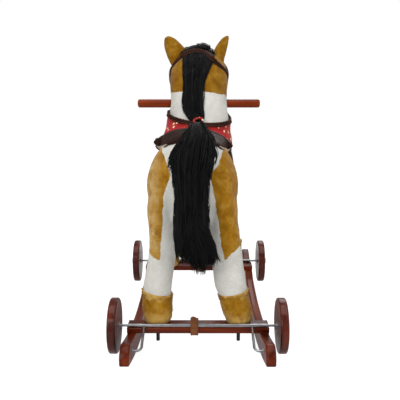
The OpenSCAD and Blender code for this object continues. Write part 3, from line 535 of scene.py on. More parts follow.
MAHOGANY = srgb(66, 19, 6), srgb(116, 42, 10)
LOOKS = {
    "mahogany_y": wood_look("mahogany_y", "Y", *MAHOGANY),
    "mahogany_x": wood_look("mahogany_x", "X", *MAHOGANY),
    "handle": wood_look("handle_wood", "X", srgb(94, 28, 3), srgb(134, 52, 9)),
    "wheel": wood_look("wheel_wood", "Z", srgb(56, 17, 9), srgb(100, 36, 18), 0.3),
    "core": wood_look("core_wood", "Z", srgb(176, 138, 92), srgb(206, 172, 124), 0.0, (0.6, 0.8)),
    "steel_x": steel_look("rod_steel", srgb(150, 150, 152), "X"),
    "steel": steel_look("plated_steel", srgb(172, 172, 174), "Z"),
    "brass": steel_look("brass", srgb(196, 156, 84), "Z"),
    "dark_steel": steel_look("blackened_steel", srgb(58, 57, 58), "Z"),
    "stirrup": plastic_look("stirrup_plastic", srgb(40, 28, 22)),
    "strap": leather_look("strap_leather", srgb(92, 50, 22), srgb(126, 76, 40)),
    "tack": leather_look("tack_leather", srgb(32, 17, 14), srgb(50, 28, 22), gloss=0.06),
    "saddle": leather_look("saddle_leather", srgb(30, 13, 8), srgb(46, 23, 16), gloss=0.05),
    "roll": leather_look("roll_leather", srgb(38, 22, 19), srgb(56, 36, 31)),
    "lining": leather_look("lining_felt", srgb(150, 134, 112), srgb(176, 160, 136), (0.85, 1.0), 0.2),
    "thread": leather_look("thread", srgb(106, 52, 20), srgb(138, 74, 32), (0.7, 0.9)),
    "plush": plush_look(),
    "tan": tan_plush_look(),
    "boot": boot_look(),
    "hair": hair_look(),
    "eye": eye_look(),
    "bandana": bandana_look(),
}

# Finish of every solid that stays in view
AXLE_STEEL = [f"{end}_axle_{kind}" for kind in ("washers", "caps") for end in END_NAMES.values()]
NODE_LOOKS = {
    "mahogany_y": ["rocker_left", "rocker_right"],
    "mahogany_x": ["rear_plank", "front_plank"],
    "handle": ["handle_bar"],
    "wheel": [f"wheel_{corner}" for corner in CORNERS],
    "steel_x": ["rear_wheel_frame", "front_wheel_frame"],
    "steel": ["pivot_bushes", "bit_rings", *AXLE_STEEL],
    "dark_steel": ["leg_bolts", "leg_nuts", "plank_screws"],
    "brass": ["strap_studs", "stirrup_rivets"],
    "stirrup": ["stirrup_left", "stirrup_right"],
    "core": ["body_beam", "neck_post", *(f"leg_post_{corner}" for corner in CORNERS)],
}
# Rounding of the edges of the rockers and of the planks
EDGE_ROUND = {"mahogany_y": 3.0 * MM, "mahogany_x": 1.2 * MM}


def round_edges(obj, width):
    whole = obj.modifiers.new("whole", "WELD")
    whole.merge_threshold = 0.01 * MM
    plain = obj.modifiers.new("plain_faces", "DECIMATE")
    plain.decimate_type = "DISSOLVE"
    plain.angle_limit = math.radians(0.5)
    edge = obj.modifiers.new("worn_edges", "BEVEL")
    edge.width = width
    edge.segments = 3
    edge.use_clamp_overlap = False
    edge.limit_method = "ANGLE"
    edge.angle_limit = math.radians(40)


def dress_nodes():
    for look, names in NODE_LOOKS.items():
        for name in names:
            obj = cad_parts[name]
            obj.data.materials.clear()
            obj.data.materials.append(LOOKS[look])
            if look in EDGE_ROUND:
                round_edges(obj, EDGE_ROUND[look])


# Stuffed skin: body, neck, head and legs sewn into one

# Body from rump to chest, neck from inside the chest to the poll, head from behind the poll to the nose:
# [share of the way, share of width, share of depth, lift as a share of depth]
BODY_ROWS = [
    (-1.00, 0.14, 0.14, 0.017), (-0.97, 0.46, 0.44, 0.017), (-0.88, 0.80, 0.78, 0.013),
    (-0.66, 1.00, 1.00, 0), (-0.35, 0.91, 0.94, -0.018), (0.00, 0.81, 0.88, -0.030),
    (0.35, 0.86, 0.91, -0.026), (0.64, 0.94, 0.96, -0.018), (0.86, 0.80, 0.80, -0.009),
    (0.96, 0.48, 0.47, 0), (1.00, 0.15, 0.15, 0.004),
]
NECK_ROWS = [
    (-0.10, 1.15, 1.24, 0), (0.13, 1.08, 1.13, 0), (0.34, 1.00, 1.03, 0), (0.54, 0.93, 1.00, 0),
    (0.73, 0.97, 0.97, 0), (0.87, 0.88, 0.80, 0), (0.96, 0.58, 0.50, 0), (1.00, 0.22, 0.20, 0),
]
HEAD_ROWS = [
    (-0.15, 0.20, 0.20, 0), (-0.08, 0.60, 0.62, 0), (0.07, 0.92, 0.92, 0), (0.26, 1.00, 1.00, 0),
    (0.46, 0.87, 0.86, 0), (0.64, 0.67, 0.68, 0), (0.80, 0.58, 0.58, -0.007),
    (0.90, 0.54, 0.52, -0.014), (0.97, 0.40, 0.38, -0.020), (1.00, 0.16, 0.16, -0.020),
]
# Leg from the hoof into the body: [share of the way to the hip, share of width, share of depth]
LEG_ROWS = [
    (-0.26, 0.76, 0.74), (-0.16, 0.84, 0.78), (-0.05, 1.00, 0.92), (0.12, 1.02, 0.93), (0.30, 1.00, 0.95),
    (0.52, 1.02, 1.10), (0.74, 1.06, 1.55), (0.96, 1.20, 1.95), (1.12, 1.20, 1.80),
]
FILL_STEPS = 8


def stations(rows, start, way, width, depth, up=Z):
    """Stations [x, y, z, half width, half depth] along a way from a start."""
    made = []
    for share, wide, deep, lift in rows:
        made.append((*(start + share * way + lift * depth * up), wide * width / 2, deep * depth / 2))
    return smooth_rows(made, FILL_STEPS)


BODY = stations(BODY_ROWS, BODY_Z * Z, BODY_LEN / 2 * Y, BODY_W, BODY_H)
NECK = stations(NECK_ROWS, NECK_FOOT, NECK_LEN * NECK_DIR, NECK_W, NECK_D)
HEAD = stations(HEAD_ROWS, POLL, HEAD_LEN * HEAD_DIR, HEAD_W, HEAD_D, HEAD_UP)


def leg_stations(end, side):
    foot, hip = FOOT * (side, end, 1), HIP * (side, end, 1)
    rows = []
    for share, wide, deep in LEG_ROWS:
        # Below the hem the leg goes straight down into the boot
        step = share * (hip - foot) * ((1, 1, 1) if share > 0 else Z)
        rows.append((*(foot + step), wide * LEG_W / 2, deep * LEG_W / 2))
    rows = smooth_rows(rows, FILL_STEPS)
    if end < 0 and side > 0:
        # The right hind leg is stuffed fuller on its inner side
        full = smoothstep(130.0, 170.0, rows[:, 2]) * smoothstep(330.0, 260.0, rows[:, 2])
        rows[:, 0] -= 4.5 * full
        rows[:, 3] += 4.0 * full
    return rows


def lean(points):
    """The stuffing sits a little to the left at the rump, and its right leg leans in from the hoof up."""
    points = np.array(points, float)
    x, y, z = (points[..., k] for k in range(3))
    left, right = 12.0 * smoothstep(235.0, 330.0, z), 13.0 * smoothstep(85.0, 150.0, z)
    side = smoothstep(-30.0, 40.0, x)
    points[..., 0] = x - smoothstep(-10.0, -130.0, y) * (left + side * (right - left))
    return points


def lumps(points, size, seed):
    return np.array([noise.noise(Vector(p) / size + Vector((seed, 0, 0))) for p in points])


# Edges of the tan coat seen from behind: [height, distance from the middle]
LEFT_COAT = np.array([
    (215, -84), (240, -80), (270, -78), (356, -74), (389, -67),
    (408, -59), (421, -63), (442, -73), (470, -84), (520, -90),
])
RIGHT_COAT = np.array([
    (215, 57), (228, 56), (291, 45), (335, 38), (378, 30),
    (410, 25), (429, 42), (459, 54), (480, 62), (520, 74),
])


def coat(points):
    """1 where the pile is tan and 0 where it is white, with a soft edge of about 5 mm."""
    x, y, z = points.T
    wave = 5.0 * lumps(points, 38.0, 3.1) + 2.0 * lumps(points, 13.0, 9.4)
    flank = np.maximum(np.interp(z, *LEFT_COAT.T) - x, x - np.interp(z, *RIGHT_COAT.T))
    # The flank's patch stops in front of the girth, and above a line across each leg
    sock = np.where(x < 0, 224.0 + 0.62 * (-83.0 - x), 222.0 + 0.74 * (x - 56.0))
    flank = np.minimum(np.minimum(flank, z - sock), 50.0 - y)
    # A second patch lies on the shoulder and the upper front leg
    shoulder = 60.0 - np.hypot((y - 165.0) * 0.9, (z - 335.0) * 0.62)
    patch = np.maximum(flank, np.minimum(shoulder, np.abs(x) - 84.0))
    # The head and the upper neck are tan, the lower neck is white
    crest = 577.0 - 0.13 * np.maximum(x - 16.0, 0.0) - 1.6 * np.maximum(x - 70.0, 0.0)
    top = (z - crest) + 0.05 * (y - 110.0)
    on_neck = (z > 470.0) & (y > 20.0)
    return smoothstep(-2.5, 2.5, np.where(on_neck, top + 0.35 * wave, patch + wave))


def skin_mesh():
    shapes = [loft(BODY, 72), loft(NECK, 64), loft(HEAD, 64)]
    shapes += [loft(leg_stations(end, side), 48) for end in END_NAMES for side in SIDE_NAMES]
    shape = new_object("stuffing", new_mesh("stuffing", *join(shapes)))
    sewn = shape.modifiers.new("sewn", "REMESH")
    sewn.mode = "VOXEL"
    sewn.voxel_size = 3.4 * MM
    soft = shape.modifiers.new("soft", "SMOOTH")
    soft.factor = 0.5
    soft.iterations = 12
    done = bpy.data.meshes.new_from_object(shape.evaluated_get(bpy.context.evaluated_depsgraph_get()))
    bpy.data.objects.remove(shape)
    return done


def vectors(items, key):
    flat = np.empty(3 * len(items))
    items.foreach_get(key, flat)
    return flat.reshape(-1, 3)


def add_values(mesh, name, values):
    made = mesh.attributes.new(name, "FLOAT", "POINT")
    made.data.foreach_set("value", np.asarray(values, np.float32))


def make_skin():
    """The sewn skin as a piece, and as a tree that rays can be cast at."""
    mesh = skin_mesh()
    points = vectors(mesh.vertices, "co") / MM
    swell = 0.7 * lumps(points, 42.0, 1.7) + 0.6 * lumps(points, 15.0, 5.2)
    points = lean(points + swell[:, None] * vectors(mesh.vertex_normals, "vector"))
    mesh.vertices.foreach_set("co", (points * MM).ravel())
    mesh.update()
    add_values(mesh, "tan", coat(points))
    solids = ["body_plush", "neck_plush", "head_plush", *(f"leg_{corner}" for corner in CORNERS)]
    place("plush_skin", mesh, "plush", solids)
    faces = [tuple(p.vertices) for p in mesh.polygons]
    return BVHTree.FromPolygons([Vector(p) for p in points], faces)


SKIN = make_skin()


def on_skin(origin, toward):
    """First point of the skin from an origin along a direction, and the normal there."""
    hit, normal, _, _ = SKIN.ray_cast(Vector(origin), Vector(toward))
    if hit is None:
        hit, normal, _, _ = SKIN.find_nearest(Vector(origin))
    return np.array(hit), np.array(normal)


def smooth_normals(out):
    for _ in range(3):
        out = unit(out + np.roll(out, 1, 0) * 0.5 + np.roll(out, -1, 0) * 0.5)
    return out


def ring_on_skin(centre, right, up, angles, reach=170.0):
    """Points where rays toward a centre, at angles in the plane of right and up, meet the skin."""
    hits = []
    for angle in angles:
        way = math.cos(angle) * right + math.sin(angle) * up
        hits.append(on_skin(centre + reach * way, -way))
    path, out = (np.array(part) for part in zip(*hits))
    return path, smooth_normals(out)


# Hooves, ears and eyes

# Boot from the plank up, over the hem and down inside: [share of height, share of width, share of depth]
BOOT_ROWS = [
    (0.004, 0.36, 0.40), (0.0, 0.68, 0.74), (0.05, 0.82, 0.88), (0.22, 0.96, 0.97),
    (0.55, 1.01, 1.00), (0.84, 0.985, 0.99), (0.90, 1.00, 1.01), (0.965, 1.01, 1.02),
    (0.998, 0.97, 0.98), (0.96, 0.90, 0.90), (0.80, 0.86, 0.86),
]
BOOT_SIDES, BOOT_PILE, PILE_LEN, PILE_R = 56, 700, 3.2, 0.55


def make_boot(end, side):
    rows = smooth_rows(BOOT_ROWS, 5)
    t = circle(BOOT_SIDES)
    share, wide, deep = (rows[:, k, None] for k in range(3))
    gathers = 1.0 + 0.030 * np.sin(15 * t + side + end) * smoothstep(0.30, 0.02, share)
    gathers += 0.014 * np.sin(23 * t + 2.0 * side) * smoothstep(0.45, 0.05, share)
    x = HOOF_W / 2 * wide * np.cos(t) * gathers
    y = HOOF_D / 2 * deep * np.sin(t) * gathers
    # The hem lies square to the leaning leg, so it is higher on the outside
    z = PLANK_TOP + 0.3 + share * (HOOF_H - 6.0 + 0.19 * side * x)
    middle = np.array([side * FOOT[0], end * FOOT[1], PLANK_TOP + 40.0])
    points = np.stack([middle[0] + x, middle[1] + y, z], -1).reshape(-1, 3)
    out = unit((points - middle) * (1, 1, 0.15))
    uneven = 1.1 * lumps(points, 14.0, 4.0 + side) + 0.5 * lumps(points, 6.0, end)
    uneven *= smoothstep(PLANK_TOP + 0.5, PLANK_TOP + 8.0, points[:, 2])
    points = points + uneven[:, None] * out
    # Short pile that stands off the outside, upward along the hem
    outside = np.arange(15 * BOOT_SIDES, 39 * BOOT_SIDES)
    roots = rng.choice(outside, BOOT_PILE)
    way = unit(out[roots] + 0.45 * rng.normal(size=(BOOT_PILE, 3)) + 0.5 * Z)
    go = np.array([-0.2, 0.5, 1.0])[:, None]
    pile = points[roots][:, None] + go * (PILE_LEN * way)[:, None] - 1.2 * go**2 * Z
    fur = strands(lean(pile), PILE_R * np.array([1.0, 0.7, 0.15]))
    shape = join([(lean(points), tube_faces(len(rows), BOOT_SIDES)), fur])
    corner = f"{END_NAMES[end]}_{SIDE_NAMES[side]}"
    add_piece(f"boot_{corner}", shape, "boot", "plush", f"hoof_{corner}")


# Ears seen from behind, left and right: [height, outer edge, inner edge, half thickness]
EAR_ROWS = {
    -1: [
        (626, 62, 40, 8), (641, 72, 43, 9), (656, 80, 41, 8.5), (672, 87, 38, 7.5),
        (687, 92, 37, 6.8), (697, 94, 43, 6), (706, 94.5, 52, 5), (714, 93.5, 61, 4.2),
        (719, 91, 69, 3.2), (722, 87, 76, 2), (723, 84, 80, 1),
    ],
    1: [
        (626, 58, 40, 8), (645, 65, 42, 9), (660, 68.5, 40, 8), (676, 72.5, 38, 7.2),
        (690, 76, 43, 6.3), (703, 79, 51, 5.2), (713, 80.5, 59, 4.2), (719, 80.7, 65, 3.2),
        (722.5, 80, 71, 2), (724, 79, 75, 1),
    ],
}
EAR_SIDES = 44


def make_ear(side):
    rows = smooth_rows(EAR_ROWS[side], 5)
    t = circle(EAR_SIDES)
    height, outer, inner, thick = (rows[:, k, None] for k in range(4))
    half = (outer - inner) / 2
    x = (outer + inner) / 2 + half * np.cos(t)
    # The leaf leans and is cupped forward
    y = 197.0 + 0.10 * (height - 660.0) + thick * np.sin(t) + 0.34 * half * np.cos(t) ** 2
    points = np.stack([side * x, y, np.broadcast_to(height, x.shape)], -1)
    out = unit(points - points.mean(1, keepdims=True) + 1e-6).reshape(-1, 3)
    points = points.reshape(-1, 3)
    points = points + 0.6 * lumps(points, 9.0, side)[:, None] * out
    name = f"ear_{SIDE_NAMES[side]}"
    leaf = (points, tube_faces(len(rows), EAR_SIDES))
    add_piece(f"{name}_leaf", leaf, "tan", "plush", name)


EYE_R, EYE_SIDES, LID_STEPS = 10.0, 24, 16


def make_eyes():
    balls, lids = [], []
    at = POLL + 72.2 * HEAD_DIR + 29.2 * HEAD_UP

    def ring(angles):
        return np.cos(angles)[:, None] * HEAD_DIR + np.sin(angles)[:, None] * HEAD_UP

    for side in SIDE_NAMES:
        point, normal = on_skin(at + 200.0 * side * X, -side * X)
        centre = point - 3.0 * normal
        rows = []
        for turn in np.linspace(-np.pi / 2, np.pi / 2, 15):
            radius = max(EYE_R * math.cos(turn), 0.4)
            rows.append(centre + EYE_R * math.sin(turn) * side * X + radius * ring(circle(EYE_SIDES)))
        balls.append((np.concatenate(rows), tube_faces(len(rows), EYE_SIDES)))
        arc = np.radians(np.linspace(15, 165, LID_STEPS))
        lid = centre + (EYE_R + 0.2) * ring(arc) + 4.0 * side * X
        lids.append(strands([lid], 2.6 * arch(0.25, LID_STEPS), 10))
    add_piece("eye_domes", join(balls), "eye", "eye_plastic", "eyes")
    add_piece("eye_lids", join(lids), "tan", "plush")


# Hair

STRAND_SIDES = 3
FULL_WAVE = 6.3


def add_hair(name, node, paths, radii, *core):
    """Strands over a core, each with a shade of its own."""
    counts = [len(points) for points, _ in core] + [STRAND_SIDES * len(path) for path in paths]
    shape = join([*core, strands(paths, np.array(radii), STRAND_SIDES)])
    hair = add_piece(name, shape, "hair", "hair", node)
    add_values(hair.data, "shade", np.repeat(rng.random(len(counts)) ** 2.2, counts))


# Tail from its root over the rump and down: [x, y, z, half width, half thickness]
TAIL_ROWS = [
    (-4, -149, 462, 10, 9), (-4, -155, 487, 11, 11), (-2, -174, 503, 14, 13), (-1, -200, 502, 20, 15),
    (-2, -224, 483, 32, 17), (-7, -234, 468, 37, 18), (-10, -240, 452, 41, 18), (-14, -248, 412, 34, 17),
    (-13, -251, 366, 31, 16), (-14, -253, 313, 32, 15), (-8, -254, 281, 38, 14), (-3, -255, 256, 39, 12),
    (0, -255, 236, 37, 10), (2, -256, 215, 34, 7),
]
# Layers of the tail's locks: [count, range of starts, range of lengths, range to the side, flare, lift]
TAIL_LAYERS = [
    (84, (0.00, 0.28), (0.80, 1.00), (0.00, 0.92), 0.00, 0.0),
    (100, (0.06, 0.68), (0.20, 0.34), (0.00, 0.90), 0.06, 0.30),
    (30, (0.20, 0.34), (0.12, 0.20), (0.70, 0.98), 0.26, 0.30),
    (30, (0.40, 0.66), (0.10, 0.18), (0.75, 0.98), 0.20, 0.25),
    (34, (0.58, 0.74), (0.22, 0.30), (0.40, 0.98), 0.14, 0.20),
    (16, (0.00, 0.05), (0.12, 0.22), (0.00, 0.70), 0.10, 0.50),
    (24, (0.16, 0.42), (0.07, 0.14), (0.78, 0.94), 0.24, 0.40),
    (16, (0.62, 0.84), (0.09, 0.15), (0.66, 0.88), 0.12, 0.30),
]
# Loose wisps at the tail's end, the longest near the middle: [x at the top, x at the end, lowest height]
TAIL_WISPS = [
    (2, 6, 214), (5, 4, 218), (-1, 8, 222), (30, 46, 236), (24, 40, 240), (28, 50, 233), (-30, -38, 246),
]
TAIL_STATIONS, TAIL_STEPS, TAIL_LOCK = 60, 11, 9
WISP_Y, WISP_TOP, WISP_COUNT = -257.0, 286.0, 5


def tail_lock(table, go, starts, lengths, reach, flare, lift):
    """Paths of the strands of one lock."""
    start = rng.uniform(*starts)
    u = rng.choice((-1, 1)) * rng.uniform(*reach)
    # The tail ends in a point a little to the right of its middle
    stop = min(start + rng.uniform(*lengths), 1.01 - 0.075 * abs(u - 0.1) - 0.03 * rng.random())
    v = rng.uniform(0.25, 1.0)
    phase, waves = rng.random(2) * FULL_WAVE, 0.6 + 0.9 * rng.random()
    last = TAIL_STATIONS - 1
    close = 1.0 - 0.75 * go**1.5
    paths = []
    for shift, rise in rng.normal(0.0, 0.10, (TAIL_LOCK, 2)):
        at = np.clip(start + (stop + 0.02 * rng.normal() - start) * go, 0, 1.06) * last
        columns = [np.interp(at, np.arange(TAIL_STATIONS), column) for column in table.T]
        x, y, z, wide, deep, out_y, out_z = columns
        side = u * (1 + flare * go**2) + shift * close
        high = v * (1 + lift * go**2) + rise * close
        edge = np.sqrt(np.clip(1 - 0.85 * np.clip(side, -1, 1) ** 2, 0.05, 1))
        x = x + side * wide + 2.2 * np.sin(phase[0] + waves * FULL_WAVE * go) * go
        off = high * edge * deep + 1.6 * np.sin(phase[1] + waves * 5.0 * go) * go
        past = np.maximum(at - last, 0) * 5.0
        paths.append(np.stack([x, y + off * out_y, z + off * out_z - past], -1))
    return paths


def tail_wisp(go, first, final, low):
    x = first + rng.normal() * 2.0 + (final - first) * go**1.6
    z = WISP_TOP - (WISP_TOP - low - 4.0 * rng.random()) * go
    return np.stack([x, np.full(len(go), WISP_Y + 2.0 * rng.normal()), z], -1)


def make_tail():
    rows = resample(smooth_rows(TAIL_ROWS, 6), TAIL_STATIONS)
    core = loft((rows * (1, 1, 1, 0.78, 0.70))[:53], 28)
    direction = unit(np.gradient(rows[:, 1:3], axis=0))
    table = np.hstack([rows, direction[:, 1:], -direction[:, :1]])
    go = np.linspace(0, 1, TAIL_STEPS)
    locks = []
    for count, *layer in TAIL_LAYERS:
        for _ in range(count):
            locks += tail_lock(table, go, *layer)
    wisps = [tail_wisp(go, *wisp) for wisp in TAIL_WISPS for _ in range(WISP_COUNT)]
    radii = [1.0 - 0.82 * go**4] * len(locks) + [0.8 - 0.65 * go**2] * len(wisps)
    add_hair("tail_hair", "tail", locks + wisps, radii, core)


def neck_place(height, x, off):
    """A point behind the neck at a height along it, off its surface."""
    axis = NECK_FOOT + height * NECK_DIR + x * X
    point, _ = on_skin(axis - 150.0 * NECK_FRONT, NECK_FRONT)
    return point - off * NECK_FRONT


# Mane seen from behind: [height up the neck, left edge, right edge]
MANE_EDGES = np.array([
    (78, -19, 10), (90, -31, 12), (104, -37, 12), (124, -40, 10), (140, -39, 10),
    (180, -36, 11), (222, -38, 22), (252, -40, 34), (284, -38, 35), (330, -34, 32),
])
# Part of the neck that the mane lies on, and the points at which its surface is taken
MANE_LOW, MANE_HIGH, MANE_HALF = 70.0, 320.0, 54.0
MANE_ROWS, MANE_COLS = 56, 28
MANE_LOCKS, MANE_LOCK, MANE_STEPS, MANE_PAD_COLS = 96, 11, 11, 14
HAIR_R = 0.95


def mane_edges(height):
    return (np.interp(height, MANE_EDGES[:, 0], MANE_EDGES[:, k]) for k in (1, 2))


def neck_sheet():
    """A function that gives points behind the neck, at heights along it and off its surface."""
    across = np.linspace(-MANE_HALF, MANE_HALF, MANE_COLS)
    upward = np.linspace(MANE_LOW, MANE_HIGH, MANE_ROWS)
    grid = np.array([[neck_place(h, x, 0.0) for x in across] for h in upward])

    def cell(value, low, high, count):
        """The cell of the grid that a value falls in, and its share of the way across."""
        at = np.clip((value - low) / (high - low) * (count - 1), 0, count - 1.01)
        return at.astype(int), (at % 1)[:, None]

    def behind(height, x, off):
        a, f = cell(height, MANE_LOW, MANE_HIGH, MANE_ROWS)
        b, g = cell(x, -MANE_HALF, MANE_HALF, MANE_COLS)
        near = grid[a, b] * (1 - f) + grid[a + 1, b] * f
        far = grid[a, b + 1] * (1 - f) + grid[a + 1, b + 1] * f
        return near * (1 - g) + far * g - off[:, None] * NECK_FRONT

    return behind


def mane_pad(behind):
    """The dark pad under the strands."""
    pad = []
    heights = np.linspace(80, 306, 44)
    swell = 6.5 * np.sqrt(np.clip(1 - np.linspace(-1, 1, MANE_PAD_COLS) ** 2, 0, 1))
    for height in heights:
        left, right = mane_edges(height)
        x = np.linspace(0.94 * left, 0.94 * right, MANE_PAD_COLS)
        level = np.full(MANE_PAD_COLS, height)
        pad += [behind(level, x, swell + 0.3), behind(level, x[::-1], np.full(MANE_PAD_COLS, -2.0))]
    return np.concatenate(pad), tube_faces(len(heights), 2 * MANE_PAD_COLS)


def make_mane():
    behind = neck_sheet()
    go = np.linspace(0, 1, MANE_STEPS)
    paths, radii = [], []
    for _ in range(MANE_LOCKS):
        root = 128.0 + 178.0 * rng.random() ** 0.7
        length = 62.0 + 60.0 * rng.random()
        where, phase = rng.random() * 2 - 1, rng.random(2) * FULL_WAVE
        waves, flick = 1.0 + 1.5 * rng.random(), rng.choice((0.03, 0.08, 0.18))
        depth = 3.0 + 9.5 * rng.random()
        for _ in range(MANE_LOCK):
            height = np.maximum(root - (length + 9.0 * rng.normal()) * go, 72.0 + 8.0 * rng.random())
            left, right = mane_edges(height)
            share = where * (1 + flick * go**2) + 0.13 * rng.normal() * (1 - 0.85 * go**1.5)
            x = (left + right) / 2 + np.clip(share, -1.16, 1.16) * (right - left) / 2
            x += 2.4 * np.sin(phase[0] + waves * FULL_WAVE * go) * go
            crown = np.sqrt(np.clip(1 - 0.9 * np.clip(share, -1, 1) ** 2, 0.12, 1))
            thick = (depth + 1.6 * rng.normal()) * smoothstep(-0.15, 0.18, go) * (1 - 0.35 * go)
            paths.append(behind(height, x, np.maximum(crown * thick + 0.6, 0.4)))
            radii.append(HAIR_R * (1.0 - 0.85 * go**3))
    add_hair("mane_hair", "mane", paths, radii, mane_pad(behind))


def head_place(along, x, off):
    point, normal = on_skin(POLL + along * HEAD_DIR + x * X + 190.0 * HEAD_UP, -HEAD_UP)
    return point + off * unit(normal + 0.6 * HEAD_UP)


# Top of the forelock seen from behind: [distance from the middle, height]
FORELOCK_TOP = np.array([(-50, 684), (-34, 693), (-15, 699), (11, 705), (21, 703), (29, 694), (37, 682)])
FORELOCK_X, FORELOCK_HALF, FORELOCK_LOCKS, FORELOCK_LOCK = -5.0, 42.0, 64, 10


def make_forelock():
    go = np.linspace(0, 1, 9)
    half = FORELOCK_HALF - 28.0 * smoothstep(0.35, 1.0, go)
    paths, radii = [], []
    for _ in range(FORELOCK_LOCKS):
        where, length = rng.random() * 2 - 1, 62.0 + 46.0 * rng.random()
        start = -34.0 + 34.0 * rng.random()
        at = FORELOCK_X + FORELOCK_HALF * where
        skull = max(on_skin((at, y, 800.0), -Z)[0][2] for y in (175.0, 190.0, 205.0, 220.0))
        rise = max(np.interp(at, *FORELOCK_TOP.T) - skull, 3.0)
        depth = 1.25 * rise * (0.68 + 0.32 * math.sqrt(rng.random()))
        phase = rng.random() * FULL_WAVE
        off = 0.8 + depth * np.sin(np.pi * np.clip(0.18 + 0.75 * go, 0, 1))
        for _ in range(FORELOCK_LOCK):
            share = where + 0.10 * rng.normal() * (1 - 0.5 * go)
            x = FORELOCK_X + np.clip(share, -1.1, 1.1) * half + 2.0 * np.sin(phase + 5 * go) * go
            path = np.array([head_place(*place_at) for place_at in zip(start + length * go, x, off)])
            # Strands that would start beside the head are left away
            if np.linalg.norm(np.diff(path, axis=0), axis=1).max() < 40.0:
                paths.append(path)
                radii.append(HAIR_R * (1.0 - 0.85 * go**3))
    add_hair("forelock_hair", "forelock", paths, radii)


# Saddle


def back_place(y, turn, off):
    """A point over the back: turn is the angle from straight up, positive to the right."""
    lift, half, deep = (np.interp(y, BODY[:, 1], BODY[:, k]) for k in (2, 3, 4))
    centre = lean((0.0, y, lift))
    way = math.sin(turn) * X + math.cos(turn) * Z
    point, _ = on_skin(centre + 170.0 * way, -way)
    # It follows the back, not the neck that rises from it
    back = 1.0 / math.hypot(math.sin(turn) / half, math.cos(turn) / deep)
    reach = min(np.linalg.norm(point - centre), back + 7.0)
    return centre + (reach + off) * way


SKIRT_REAR, SKIRT_FRONT, SKIRT_TURN = -64.5, 70.0, math.radians(93)
SKIRT_UNDER, SKIRT_OVER, SEAM_STEPS = 0.5, 3.2, 400


def make_skirt():
    over, under = np.empty((2, 34, 73, 3))
    for i, f in enumerate(np.linspace(0, 1, len(over))):
        y = SKIRT_REAR + f * (SKIRT_FRONT - SKIRT_REAR)
        # The lower corners are cut off round
        low = SKIRT_TURN * (1 - 0.26 * abs(2 * f - 1) ** 5)
        for k, turn in enumerate(low * np.linspace(-1, 1, over.shape[1])):
            over[i, k] = back_place(y, turn, SKIRT_OVER)
            under[i, k] = back_place(y, turn, SKIRT_UNDER)
    add_leather("saddle_flaps", shell(over, under), "saddle", "saddle_skirt")
    edge = np.concatenate([over[:, 2], over[-1, 2:-2], over[::-1, -3], over[0, 2:-2][::-1]])
    out = unit(edge - edge * Y - (edge[:, 2].mean() - 40.0) * Z)
    seam = stitch_row(resample(edge, SEAM_STEPS), resample(out, SEAM_STEPS), 4.0, 0.2, edges=(0,))
    add_leather("saddle_stitching", seam, "thread")


SEAT_Y, SEAT_HALF, SEAT_TURN = 3.0, 60.0, math.radians(44)


def make_seat():
    over, under = np.empty((2, 31, 41, 3))
    for i, f in enumerate(np.linspace(-1, 1, len(over))):
        for k, t in enumerate(np.linspace(-1, 1, over.shape[1])):
            # The pad's outline is an oval: square grid lines pulled onto it
            fy, ft = f * math.sqrt(1 - t * t / 2), t * math.sqrt(1 - f * f / 2)
            y, turn = SEAT_Y + SEAT_HALF * fy, SEAT_TURN * ft
            rim = max(0.0, 1 - (fy * fy + ft * ft))
            crown = 11.0 * rim**0.45 + 1.2 * math.cos(6.0 * fy) * rim
            over[i, k] = back_place(y, turn, 3.9 + crown)
            under[i, k] = back_place(y, turn, 3.5)
    add_leather("seat_pad", shell(over, under), "saddle", "saddle_seat")


# Rear face of the cantle from its left to its right tip: [distance from the middle, top, bottom]
CANTLE_ROWS = [
    (-101, 466, 461), (-97, 470, 457), (-89, 472, 455.5), (-77, 477, 455.5), (-66, 482.5, 457.5),
    (-52, 487.5, 461), (-36, 490, 463), (-16, 492, 465), (4, 492, 464), (22, 487.5, 460),
    (39, 481.5, 455), (55, 473.5, 450), (67, 465, 449), (74, 460, 450), (78, 457, 453.5),
]
CANTLE_Y, CANTLE_COLS, CANTLE_LEAST = -66.0, 13, 4.0


def cantle_edges():
    """Upper and lower edge of the rear face, and the way that it faces."""
    rows = smooth_rows(CANTLE_ROWS, 5)
    top, low = (np.stack([rows[:, 0], np.full(len(rows), CANTLE_Y), rows[:, k]], -1) for k in (1, 2))
    # The lower edge lies back on the rump, and the tips stand off beside it
    for i, target in enumerate(low):
        hit, normal, _, _ = SKIN.ray_cast(Vector(VIEW), Vector(unit(target - VIEW)))
        if hit is not None and hit.y < CANTLE_Y:
            low[i] = np.array(hit) + 2.5 * np.array(normal)
        else:
            low[i] -= 8.0 * Y
    low = relax(low, 4)
    out = unit(np.cross(unit(np.gradient(top, axis=0)), low - top))
    out *= -np.sign(out[:, 1:2])
    return top, low, out


def cantle_pad(top, low, out):
    share = np.linspace(0, 1, CANTLE_COLS)
    bulge = 1.5 + 5.0 * np.sin(np.pi * share) ** 0.6 + 2.0 * smoothstep(0.5, 0.1, share)
    bulge = arch(0.25, len(top))[:, None] ** 0.5 * bulge
    face = top[:, None] + share[:, None] * (low - top)[:, None]
    over = face + bulge[..., None] * out[:, None]
    over += 0.6 * lumps(over.reshape(-1, 3), 16.0, 2.0).reshape(*bulge.shape, 1) * (0, -1, 0.4)
    # The pad lies on the back and the rump, without a hollow under it
    under = face - 4.0 * out[:, None]
    on_back = np.abs(top[:, 0] + 11) < 66
    for i, k in np.ndindex(bulge.shape):
        near, normal = (np.array(v) for v in SKIN.find_nearest(Vector(face[i, k]))[:2])
        over[i, k] += max(0.0, CANTLE_LEAST - (over[i, k] - near) @ normal) * normal
        if on_back[i]:
            away = face[i, k] - near
            under[i, k] = near + 0.2 * min(1.0, CANTLE_LEAST / (np.linalg.norm(away) + 1e-6)) * away
    points = np.concatenate([over, under[:, ::-1]], 1).reshape(-1, 3)
    return points, tube_faces(len(top), 2 * CANTLE_COLS)


